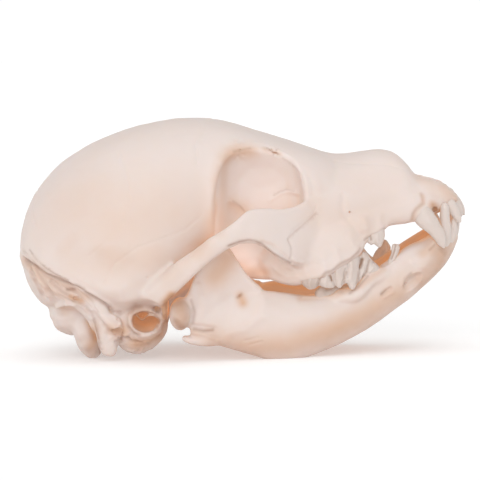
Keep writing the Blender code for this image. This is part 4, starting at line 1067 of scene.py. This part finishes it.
def shade(objects):
    rays = hollows["rays"]
    points, faces = joinShells([(pointsOf(obj), facesOf(obj)) for obj in objects])
    tree = BVHTree.FromPolygons(points.tolist(), faces)
    golden = math.pi * (3 - math.sqrt(5))
    pattern = []
    for k in range(rays):
        out = math.sqrt((k + 0.5) / rays)
        pattern.append((out * math.cos(golden * k), out * math.sin(golden * k)))
    for obj in objects:
        found = []
        for p, n in zip(pointsOf(obj), normalsOf(obj)):
            p, n = Vector(p), Vector(n)
            a = n.orthogonal().normalized()
            b = n.cross(a)
            start = p + n * hollows["start"]
            hits = 0
            for u, v in pattern:
                ray = a * u + b * v + n * math.sqrt(max(hollows["lowest"], 1 - u * u - v * v))
                if tree.ray_cast(start, ray, hollows["reach"])[0] is not None:
                    hits += 1
            found.append(hits / rays)
        found = np.array(found)[:, None]
        edges = grab(obj.data.edges, "vertices", 2, np.int64)
        share = hollows["spread"]
        for k in range(hollows["blur"]):
            found = found * (1 - share) + averaged(found, edges, len(found)) * share
        setFloat(obj, "hollow", found[:, 0])


shade(bones + crowns)
print("hollows shaded")

# Old stains and dark seams, both mixed with painted shade in recesses, creases and under edges:
# reach, strength, line in the side view or its name, and for some how far out it starts
stainsAndShade = {
    "cranium": (
        (1.8, 0.3, ((-3.9, 41.4), (-4.3, 36), (-4.4, 31), (-4.9, 26))),
        (1.3, 0.6, ((-3.4, 42.4), (-1.6, 43.6), (1.2, 43.8))),
        (3, 0.45, ((-5.8, 31), (-7, 25.6), (-9.6, 22.6))),
        (9, 0.27, ((-38, 31), (-28, 29), (-20, 29), (-12, 31))),
        (5, 0.25, ((-36, 20.4), (-31, 19.4), (-27, 19.4))),
        (1.5, 0.4, ((-5, 39.9), (-5.8, 37.3), (-6, 33.1), (-6.2, 29.9), (-7, 25.6))),
        (6, 0.2, ((17, 30), (24, 28), (31, 31))),
        (4, 0.12, ((14, 23), (21, 24))),
        (2.6, 0.22, ((-10, 21.6), (-15.6, 16.6))),
        (3, 0.42, ((-44, 17.6), (-41, 14.6), (-37, 13.4))),
        (5, 0.12, ((22, 37), (35, 35))),
        (1.8, 0.6, ((-3.6, 41.6), (-2.4, 43), (-0.8, 43.6), (1.6, 43.4))),
        (0.7, 0.4, ((4.6, 44), (7.8, 42.8))),
        (1.8, 0.4, ((0, 31), (-2.4, 32.2))),
        (0.9, 0.9, ((-36.8, 12.3), (-34.6, 11.5))),
        (1.2, 0.45, ((-47, 20), (-43.9, 17.6), (-40.1, 15.6), (-36.6, 14.2), (-33.2, 12.2))),
        (1.6, 0.9, ((-27.6, 5.4), (-25.6, 5))),
        (2, 0.3, ((37.6, 37.6), (40.4, 36.8), (41.6, 34))),
        (2.4, 0.55, ((43, 35.6), (45.6, 33))),
        (1, 1, ((40.6, 32), (41.8, 30.6))),
        (2.2, 0.24, ((8, 18), (12, 17.4), (15, 18))),
        (0.7, 0.5, ((36.2, 28.9), (37.1, 31.1), (38.6, 32.4), (38.4, 34))),
        (3.4, 0.3, ((-30, 21.6), (-24, 20.4), (-18, 21.6))),
        (3, 0.3, ((-38, 22), (-36, 25))),
        (2.4, 0.9, ((-22.6, 2.4), (-20, 2.6), (-17.6, 4.4))),
        (2.6, 1, ((-22.4, 7.4), (-20.6, 7), (-18.6, 7.6))),
        (1, 1, ((-15.1, 12.7), (-16.2, 11.4), (-16.8, 9.7), (-16.6, 8), (-15.7, 6.7))),
        (1.3, 0.6, ((-32.4, 1.8), (-31.6, 3.6), (-31.8, 5.6))),
        (1.6, 0.45, ((-38.6, 9.8), (-36.6, 10))),
        (1.4, 0.55, ((-2.6, 19), (1.6, 18), (5, 17.6))),
    ),
    "jaw": (
        (0.8, 0.4, ((12.3, 11.9), (20.2, 12.7), (25.5, 14.9), (30.2, 18.3))),
        (3.2, 0.6, ((43.6, 24), (41.6, 19.6), (38.6, 15.6))),
        (1.3, 0.6, ((41.8, 23.4), (40.4, 22.6), (38.6, 21.6))),
        (1, 0.8, ((-0.5, 12.5), (0.1, 11))),
        (3, 0.7, ((-3.6, 20.4), (-5.4, 17))),
        (1.8, 0.55, ((-13.6, 7.4), (-12.6, 5.8))),
        (2.2, 0.6, ((-13.4, 10.4), (-12.6, 7.6))),
        (2.8, 0.58, ((-6, 3.2), (2, 1.6), (10, 2), (18, 4.6), (26, 8.4), (34, 13.6))),
        (3, 0.3, ((30, 13), (36, 17))),
        (2.6, 0.7, ((41, 22.4), (42.6, 21.4), (41.8, 18.8))),
        (1.4, 0.45, ((-10.6, 4.6), (-6, 3.6))),
        (0.7, 0.45, ((35.2, 14.6), (37.4, 16.6))),
    ),
}
# Dark seams of the bone, and painted shade in creases, clefts between cusps, under edges and on shaded
# teeth
seamsAndShade = {
    "lowerTeeth": (
        (1.6, 0.42, ((15.2, 13.2), (17.6, 13.6), (20.4, 14.2), (22.8, 14.6))),
        (0.9, 0.8, ((20.6, 14.6), (22.3, 14.9))),
    ),
    "upperTeeth": (
        (1.7, 0.4, ((13.6, 14.9), (15, 14.9))),
        (2.6, 0.12, ((16, 15.6), (20, 16.4), (23.4, 18))),
    ),
    "cranium": (
        (0.22, 0.5, ((-45.4, 22.4), (-44.6, 21.1), (-43.7, 20), (-41.8, 18.4), (-40.1, 17.3),
            (-37.3, 15.9))),
        (0.4, 0.65, ((-46.1, 20.6), (-44.8, 19.6), (-43.3, 18.3), (-41.8, 17.3), (-39, 16.1),
            (-36.9, 15.3), (-34.8, 14.4), (-32.6, 12.9), (-30.5, 11.6), (-29.2, 10.6), (-28.4, 9.5),
            (-27.3, 9.1), (-26.2, 9.1))),
        (0.9, 0.4, ((-46.1, 20.4), (-45.4, 19.4), (-45, 18.5))),
        (0.7, 0.4, ((-27, 9), (-26.2, 8.8))),
        (0.45, 0.3, "occiputOne"),
        (0.4, 0.3, ((-44.2, 18.4), (-42.4, 15.4), (-40.4, 12.6))),
        (0.4, 0.35, "occiputFour"),
        (0.35, 0.4, ((-36.5, 11.5), (-34.8, 10.9), (-33.5, 10.1), (-32.4, 9.1), (-31.8, 7.5))),
        (0.3, 0.7, ((-31.8, 7.5), (-31.4, 5.8), (-30.9, 3.7), (-30.7, 1.5), (-30.5, -0.2))),
        (0.45, 0.7, ((-37.4, 13.9), (-36, 13.9))),
        (0.6, 0.35, ((-28.2, 5), (-26, 4.8))),
        (0.35, 0.6, ((-25.7, 4.6), (-26.2, 2.6))),
        (2.6, 0.44, ((-22.4, 7.4), (-20.6, 7), (-18.6, 7.6))),
        (0.8, 0.4, ((-15.3, 12.3), (-16.3, 11), (-16.7, 9.4), (-16.5, 8))),
        (1.3, 0.35, ((-33.2, 0.9), (-31.4, 0.7))),
        (0.9, 0.22, ((-22.6, 1.9), (-20, 2.3), (-17.8, 4))),
        (0.9, 0.45, ((40.8, 31.6), (41.6, 30.6))),
        (1, 0.75, ((-23.8, 9.4), (-22.8, 10.2), (-20.8, 10.5), (-18.9, 10), (-18.1, 9.2))),
        (0.35, 0.45, ((-18.4, 10), (-16.8, 8), (-15.8, 6.4))),
        (0.5, 0.6, ((-24.4, 6), (-23.2, 4.6), (-22.2, 4.2))),
        (0.35, 0.45, ((-24.8, 3.7), (-23.4, 2.9), (-21.6, 2.7))),
        (0.28, 0.7, ((-3, 23.3), (-2.2, 23.6), (-0.5, 24.2), (1.2, 24.5), (2.7, 24.3), (4.2, 23.6),
            (5.5, 22.5), (6.5, 21.7), (8, 20.8), (9.1, 20.2), (10.2, 19.6)), 17),
        (0.25, 0.32, ((15.7, 30.3), (14.2, 28.8), (12.7, 27.5), (11.4, 26.4), (10.4, 25.5),
            (9.6, 24.7))),
        (0.25, 0.3, ((9.6, 24.7), (9.9, 23.9), (10.4, 22.8), (10.4, 21.5), (9.9, 20.2))),
        (0.25, 0.22, ((8.6, 42), (10.1, 41), (11.6, 39.7), (12.7, 38.2), (13.1, 36.7), (13.2, 34.8))),
        (0.22, 0.3, ((6.7, 34.1), (8, 34.9), (9.5, 35.3), (11, 35))),
        (0.18, 0.6, ((5.2, 44.2), (6.4, 43.4), (7.6, 42.8))),
        (0.16, 0.5, ((6.4, 42.6), (6.9, 43.2), (7.4, 44))),
        (0.3, 0.3, ((-1.8, 43.4), (0, 43.8), (1.6, 44.1))),
        (0.4, 0.26, "premaxSeam"),
        (0.45, 0.36, cranium["shared"]["upperMargin"][:15]),
        (0.22, 0.35, ((26, 24.5), (27.2, 25.2), (29, 25.9), (30.2, 26.9))),
        (0.25, 0.32, ((-2, 32.8), (-0.5, 31.8), (0.3, 30.7))),
    ),
    "jaw": (
        (0.3, 0.45, ((23, 13.1), (24.6, 14.2), (25.8, 15.6), (26.8, 16.8))),
        (0.35, 0.55, ((-10.4, 5.4), (-8.4, 5), (-6.4, 5.2))),
        (2, 0.16, ((-6, 2.2), (2, 0.7), (10, 0.4), (18, 3), (26, 6.8), (34, 12))),
        (1.2, 0.5, ((-14.2, 7), (-12.8, 5.6))),
        (2, 0.3, ((-13.4, 11), (-13, 8.6))),
        (1, 0.42, ((42.5, 22.8), (43.2, 21.8))),
        (2.4, 0.2, ((43.4, 22), (41.6, 18.6), (38.6, 15))),
        (0.35, 0.4, ((-11, 11.6), (-10.2, 9), (-10.6, 6.8))),
        (0.35, 0.4, ((34.4, 14.8), (34.8, 16.2), (36, 17.3))),
        (0.28, 0.45, ((29.7, 12.9), (30.6, 13.7))),
        (0.35, 0.5, ((-1, 12.2), (-0.3, 12.8))),
        (0.3, 0.4, ((41, 23.4), (40, 22.4))),
    ),
    "teeth": (
        (0.35, 0.55, ((21.7, 15.4), (21.8, 16.6), (22.2, 17.6))),
        (0.35, 0.4, ((24.3, 15.2), (24.6, 16.4), (24.7, 17.6))),
        (0.25, 0.6, ((15.9, 14), (16.2, 15), (16.5, 16.2))),
        (0.25, 1, ((19.1, 15.8), (18.9, 16.6), (18.6, 17.2))),
        (0.22, 0.6, "secondCleft"),
        (0.45, 0.9, ((25.6, 20.4), (25.3, 19.4), (24.9, 18.6))),
        (0.22, 0.6, "lowThirdCleft"),
        (0.22, 0.55, "lowSecondCleft"),
    ),
}


def marked(obj, part, rows, ways):
    points = pointsOf(obj)
    tree = treeOf(obj, ways[0])
    total = np.zeros(len(points))
    for reach, strength, line, *least in rows:
        path = trace(tree, lineOf(part, line))
        if least:  # only as far as the outer parts go
            path = path[np.abs(path[:, 1]) > least[0]]
        if len(path) < 2:
            continue
        for way in ways:
            total = np.maximum(total, nearLine(points, path * (1, way, 1), reach) * strength)
    return total


# Painted glow, which also takes the painted hollow shade away: middle, reach, strength
glowSpots = (
    ((-0.5, 10.5, 21), (5, 3, 3.8), 0.72),
    ((-5.4, 16, 27), (2.6, 4.6, 10), 0.36),
    ((5, 11, 19), (3.6, 3, 2.6), 0.45),
    ((6, 11.5, 33), (9, 4.5, 9), 0.16),
)
points = pointsOf(skull)
through = np.zeros(len(points))
for middle, reach, strength in glowSpots:
    through = np.maximum(through, nearSpot(points, middle, reach) * strength)
setFloat(skull, "through", through)
hollow = grab(skull.data.attributes["hollow"].data, "value", 1, np.float32)[:, 0]
setFloat(skull, "hollow", hollow * (1 - through))
setFloat(skull, "stain", marked(skull, cranium, stainsAndShade["cranium"], (1, -1)))
setFloat(skull, "crease", marked(skull, cranium, seamsAndShade["cranium"], (1, -1)))
# Painted glow and painted shade on the inner faces of the jaws
light = jaw["inner"]
for name, obj in jaws.items():
    inner = np.clip(-normalsOf(obj)[:, 1] * sides[name] * light["slant"], 0, 1)
    ahead = np.clip((pointsOf(obj)[:, 0] - light["from"]) / light["over"], 0, 1)
    setFloat(obj, "through", inner * (light["most"] - light["less"] * ahead))
    ways = (-sides[name],)
    setFloat(obj, "stain", np.maximum(marked(obj, jaw, stainsAndShade["jaw"], ways), inner))
    setFloat(obj, "crease", marked(obj, jaw, seamsAndShade["jaw"], ways))
for own, row in (("upperTeeth", upperTeeth), ("lowerTeeth", lowerTeeth)):
    for name, obj in row.items():
        rows = seamsAndShade["teeth"] + seamsAndShade[own]
        setFloat(obj, "crease", marked(obj, teeth, rows, (-sides[name],)))
# Painted shade on the undersides of the bones
under = {"from": 0.05, "over": 0.75}  # undersides, by how far down a face looks
for obj in bones:
    down = -normalsOf(obj)[:, 2]
    setFloat(obj, "under", np.clip((down - under["from"]) / under["over"], 0, 1))
print("stains laid")


# Materials


class Wire:
    def __init__(self, tree, socket):
        self.tree = tree
        self.socket = socket

    def link(self, target):
        self.tree.links.new(self.socket, target)

    def maths(self, kind, first, second):
        node = self.tree.nodes.new("ShaderNodeMath")
        node.operation = kind
        for slot, value in zip(node.inputs, (first, second)):
            if isinstance(value, Wire):
                value.link(slot)
            else:
                slot.default_value = value
        return Wire(self.tree, node.outputs[0])

    def __add__(self, other):
        return self.maths("ADD", self, other)

    def __radd__(self, other):
        return self.maths("ADD", other, self)

    def __sub__(self, other):
        return self.maths("SUBTRACT", self, other)

    def __rsub__(self, other):
        return self.maths("SUBTRACT", other, self)

    def __mul__(self, other):
        return self.maths("MULTIPLY", self, other)

    def __rmul__(self, other):
        return self.maths("MULTIPLY", other, self)

    def clamped(self):
        return self.maths("MAXIMUM", self.maths("MINIMUM", self, 1.0), 0.0)


class Paint:  # the nodes of a material or of the sky
    def __init__(self, owner, shader="Principled BSDF"):
        owner.use_nodes = True
        self.tree = owner.node_tree
        self.inputs = self.tree.nodes[shader].inputs

    def node(self, kind, settings=None, output=0, **values):
        made = self.tree.nodes.new("ShaderNode" + kind)
        for key, value in (settings or {}).items():
            if key == "stops":
                ramp = made.color_ramp
                while len(ramp.elements) < len(value):
                    ramp.elements.new(0.5)
                for element, (place, tone) in zip(ramp.elements, value):
                    element.position = place
                    element.color = (*tone, 1.0)
            else:
                setattr(made, key, value)
        for key, value in values.items():  # sockets by name, or as i0, i1 by number
            self.put(made.inputs[int(key[1:]) if key[1:].isdigit() else key], value)
        return Wire(self.tree, made.outputs[output])

    def put(self, socket, value):
        if isinstance(value, Wire):
            value.link(socket)
        else:
            socket.default_value = value

    def finish(self, values):  # values and links of the shader itself
        for key, value in values.items():
            self.put(self.inputs[key], value)

    def mixed(self, amount, first, second, blend="MIX"):
        first = (*first, 1.0) if isinstance(first, tuple) else first
        second = (*second, 1.0) if isinstance(second, tuple) else second
        settings = {"data_type": "RGBA", "blend_type": blend}
        return self.node("Mix", settings, 2, i0=amount, i6=first, i7=second)

    def multiplied(self, first, second):
        return self.mixed(1.0, first, second, "MULTIPLY")

    def ramp(self, amount, stops):
        return self.node("ValToRGB", {"stops": stops}, 0, Fac=amount)

    def attribute(self, name):
        return self.node("Attribute", {"attribute_name": name}, 2)

    def grain(self, scale, detail):
        place = self.node("TexCoord", None, 3)
        return self.node("TexNoise", None, 0, Vector=place, Scale=scale, Detail=detail)


bone = {
    "light": (0.702, 0.610, 0.571),
    "warm": (0.700, 0.584, 0.514),
    # What stains, dark seams and painted shade along lines, in creases and on undersides take away from
    # the bone's colour
    "stain": (0.86, 0.62, 0.43),
    "crease": (0.46, 0.31, 0.24),
    "under": (0.88, 0.80, 0.76),
    # Painted shade: how the hollows darken and warm the bone: closeness of the hollow, tint
    "hollow": (
        (0.34, (1.0, 1.0, 1.0)),
        (0.62, (1.0, 0.93, 0.86)),
        (0.80, (1.0, 0.85, 0.70)),
        (0.92, (1.0, 0.74, 0.48)),
        (1.0, (0.95, 0.62, 0.34)),
    ),
    # Painted glow given off in the deep hollows: closeness of the hollow, colour
    "glow": (
        (0.0, (0, 0, 0)),
        (0.50, (0, 0, 0)),
        (0.66, (0.04, 0.028, 0.020)),
        (0.80, (0.155, 0.090, 0.050)),
        (0.92, (0.235, 0.128, 0.066)),
        (1.0, (0.180, 0.085, 0.036)),
    ),
    # Noise in the colour and the gloss: scale, detail
    "patches": (70.0, 3.0),
    "mottle": (420.0, 4.0),
    "pores": (2600.0, 2.0),
    # How the noise mixes the warm tone in, and what share of each layer is there at least
    "tone": {"from": 0.42, "patches": 2.2, "mottle": 0.8, "most": 0.55},
    "least": {"stain": 0.5, "crease": 0.45, "under": 0.7},
    "underShadePatches": 0.5,
    "relief": {"mottle": 0.5, "pores": 0.5},
    "bump": {"Strength": 0.12, "Distance": 0.0002},
    "roughness": 0.56,
    "roughSpread": 0.16,
    "shader": {
        "Emission Strength": 1.0,
        "Subsurface Weight": 0.12,
        "Subsurface Radius": (1.0, 0.45, 0.25),
        "Subsurface Scale": 0.0015,
        "Specular IOR Level": 0.4,
    },
}
white = (1.0, 1.0, 1.0)
halfway = 0.5  # the middle value of noise


def boneMaterial():
    material = bpy.data.materials.new("bleached_bone")
    paint = Paint(material)
    hollow = paint.attribute("hollow")
    patches, mottle, pores = (paint.grain(*bone[name]) for name in ("patches", "mottle", "pores"))
    tone, least, relief = bone["tone"], bone["least"], bone["relief"]
    warmth = (patches - tone["from"]) * tone["patches"] + (mottle - halfway) * tone["mottle"]
    colour = paint.mixed(warmth.clamped() * tone["most"], bone["light"], bone["warm"])
    amounts = {
        "stain": (paint.attribute("stain") * (least["stain"] + patches)).clamped(),
        "crease": (paint.attribute("crease") * (least["crease"] + mottle)).clamped(),
        "under": paint.attribute("under") * (least["under"] + patches * bone["underShadePatches"]),
    }
    for name, amount in amounts.items():
        colour = paint.multiplied(colour, paint.mixed(amount, white, bone[name]))
    # painted shade in the hollows
    colour = paint.multiplied(colour, paint.ramp(hollow, bone["hollow"]))
    # painted glow: from the deep hollows, and the bone's own colour given off at the glow spots
    glow = paint.mixed(paint.attribute("through"), paint.ramp(hollow, bone["glow"]), colour)
    rough = bone["roughness"] + (mottle - halfway) * bone["roughSpread"]
    height = mottle * relief["mottle"] + pores * relief["pores"]
    bumps = paint.node("Bump", None, 0, Height=height, **bone["bump"])
    paint.finish(bone["shader"])
    paint.finish({"Base Color": colour, "Emission Color": glow, "Roughness": rough, "Normal": bumps})
    return material


enamel = {
    "crown": (0.628, 0.539, 0.491),
    # The neck's own warmer colour, mixed in by the painted shade of the hollows and by streaks
    "neck": (0.66, 0.46, 0.30),
    "crease": (0.50, 0.34, 0.24),
    # Painted glow given off in the deep hollows: closeness of the hollow, colour
    "glow": (
        (0.0, (0, 0, 0)),
        (0.50, (0, 0, 0)),
        (0.70, (0.05, 0.040, 0.032)),
        (0.86, (0.150, 0.100, 0.068)),
        (1.0, (0.230, 0.145, 0.090)),
    ),
    "streaks": (900.0, 3.0),
    "tone": {"from": 0.58, "hollow": 1.6, "streaks": 0.5},  # towards the colour of the neck
    "roughness": 0.34,
    "roughSpread": 0.15,
    "shader": {
        "Emission Strength": 1.0,
        "Coat Weight": 0.25,
        "Coat Roughness": 0.15,
        "Subsurface Weight": 0.1,
        "Subsurface Radius": (1.0, 0.6, 0.4),
        "Subsurface Scale": 0.001,
    },
}


def enamelMaterial():
    material = bpy.data.materials.new("milk_tooth_enamel")
    paint = Paint(material)
    hollow = paint.attribute("hollow")
    streaks = paint.grain(*enamel["streaks"])
    tone = enamel["tone"]
    # painted shade in the hollows, with streaks, turns the crown towards the neck colour
    stain = (hollow - tone["from"]) * tone["hollow"] + (streaks - halfway) * tone["streaks"]
    colour = paint.mixed(stain.clamped(), enamel["crown"], enamel["neck"])
    crease = paint.mixed(paint.attribute("crease"), white, enamel["crease"])
    colour = paint.multiplied(colour, crease)
    glow = paint.ramp(hollow, enamel["glow"])
    rough = enamel["roughness"] + (streaks - halfway) * enamel["roughSpread"]
    paint.finish(enamel["shader"])
    paint.finish({"Base Color": colour, "Emission Color": glow, "Roughness": rough})
    return material


def dress(obj, material):
    obj.data.transform(placed)
    points = pointsOf(obj)
    points[:, 2] = np.maximum(points[:, 2], 0)  # flat where it lies on the table
    putPoints(obj, points)
    obj.data.materials.clear()
    obj.data.materials.append(material)
    obj.data.polygons.foreach_set("use_smooth", np.ones(len(obj.data.polygons), bool))
    obj.data.update()
    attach(obj, "root")


boneLook = boneMaterial()
enamelLook = enamelMaterial()
for obj in bones:
    dress(obj, boneLook)
for obj in crowns:
    dress(obj, enamelLook)
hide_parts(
    "braincase",
    "occiput",
    "muzzle",
    "zygomatic_arch_right",
    "zygomatic_arch_left",
    "bulla_right",
    "bulla_left",
)
for name, obj in jaws.items():
    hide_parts("mandible_" + name)
print("materials done")


# Floor and light

studio = {
    "floorSize": 12.0,
    "floor": {
        "Base Color": (0.74, 0.74, 0.74, 1),
        "Emission Color": (1, 1, 1, 1),
        "Emission Strength": 0.33,
        "Roughness": 0.9,
        "Specular IOR Level": 0.1,
    },
    "sky": ((0.0, 0.7), (0.47, 1.0), (0.56, 1.06), (0.68, 0.58), (1.0, 0.56)),  # down to up
    # Strength, width in degrees, where from
    "suns": {
        "front": (1.08, 50, (-0.22, -1.0, 0.42)),
        "top": (0.75, 50, (0.05, -0.1, 1.0)),
    },
}


def makeStudio():
    bm = bmesh.new()
    bmesh.ops.create_grid(bm, x_segments=8, y_segments=8, size=studio["floorSize"])
    mesh = bpy.data.meshes.new("floor")
    bm.to_mesh(mesh)
    bm.free()
    floor = inScene("floor", mesh)
    pale = bpy.data.materials.new("pale_floor")
    Paint(pale).finish(studio["floor"])
    mesh.materials.append(pale)

    world = bpy.data.worlds.new("studio")
    sky = Paint(world, "Background")
    direction = sky.node("TexCoord")
    height = sky.node("SeparateXYZ", None, 2, Vector=direction) * 0.5 + 0.5  # 0 down, 1 up
    tones = [(at, (tone,) * 3) for at, tone in studio["sky"]]
    sky.finish({"Color": sky.ramp(height, tones)})
    bpy.context.scene.world = world

    for name, (strength, width, spot) in studio["suns"].items():
        sun = bpy.data.lights.new(name, "SUN")
        sun.energy = strength
        sun.angle = math.radians(width)
        inScene(name, sun).rotation_euler = (-Vector(spot)).to_track_quat("-Z", "Y").to_euler()
    bpy.context.scene.view_settings.view_transform = "Standard"


makeStudio()
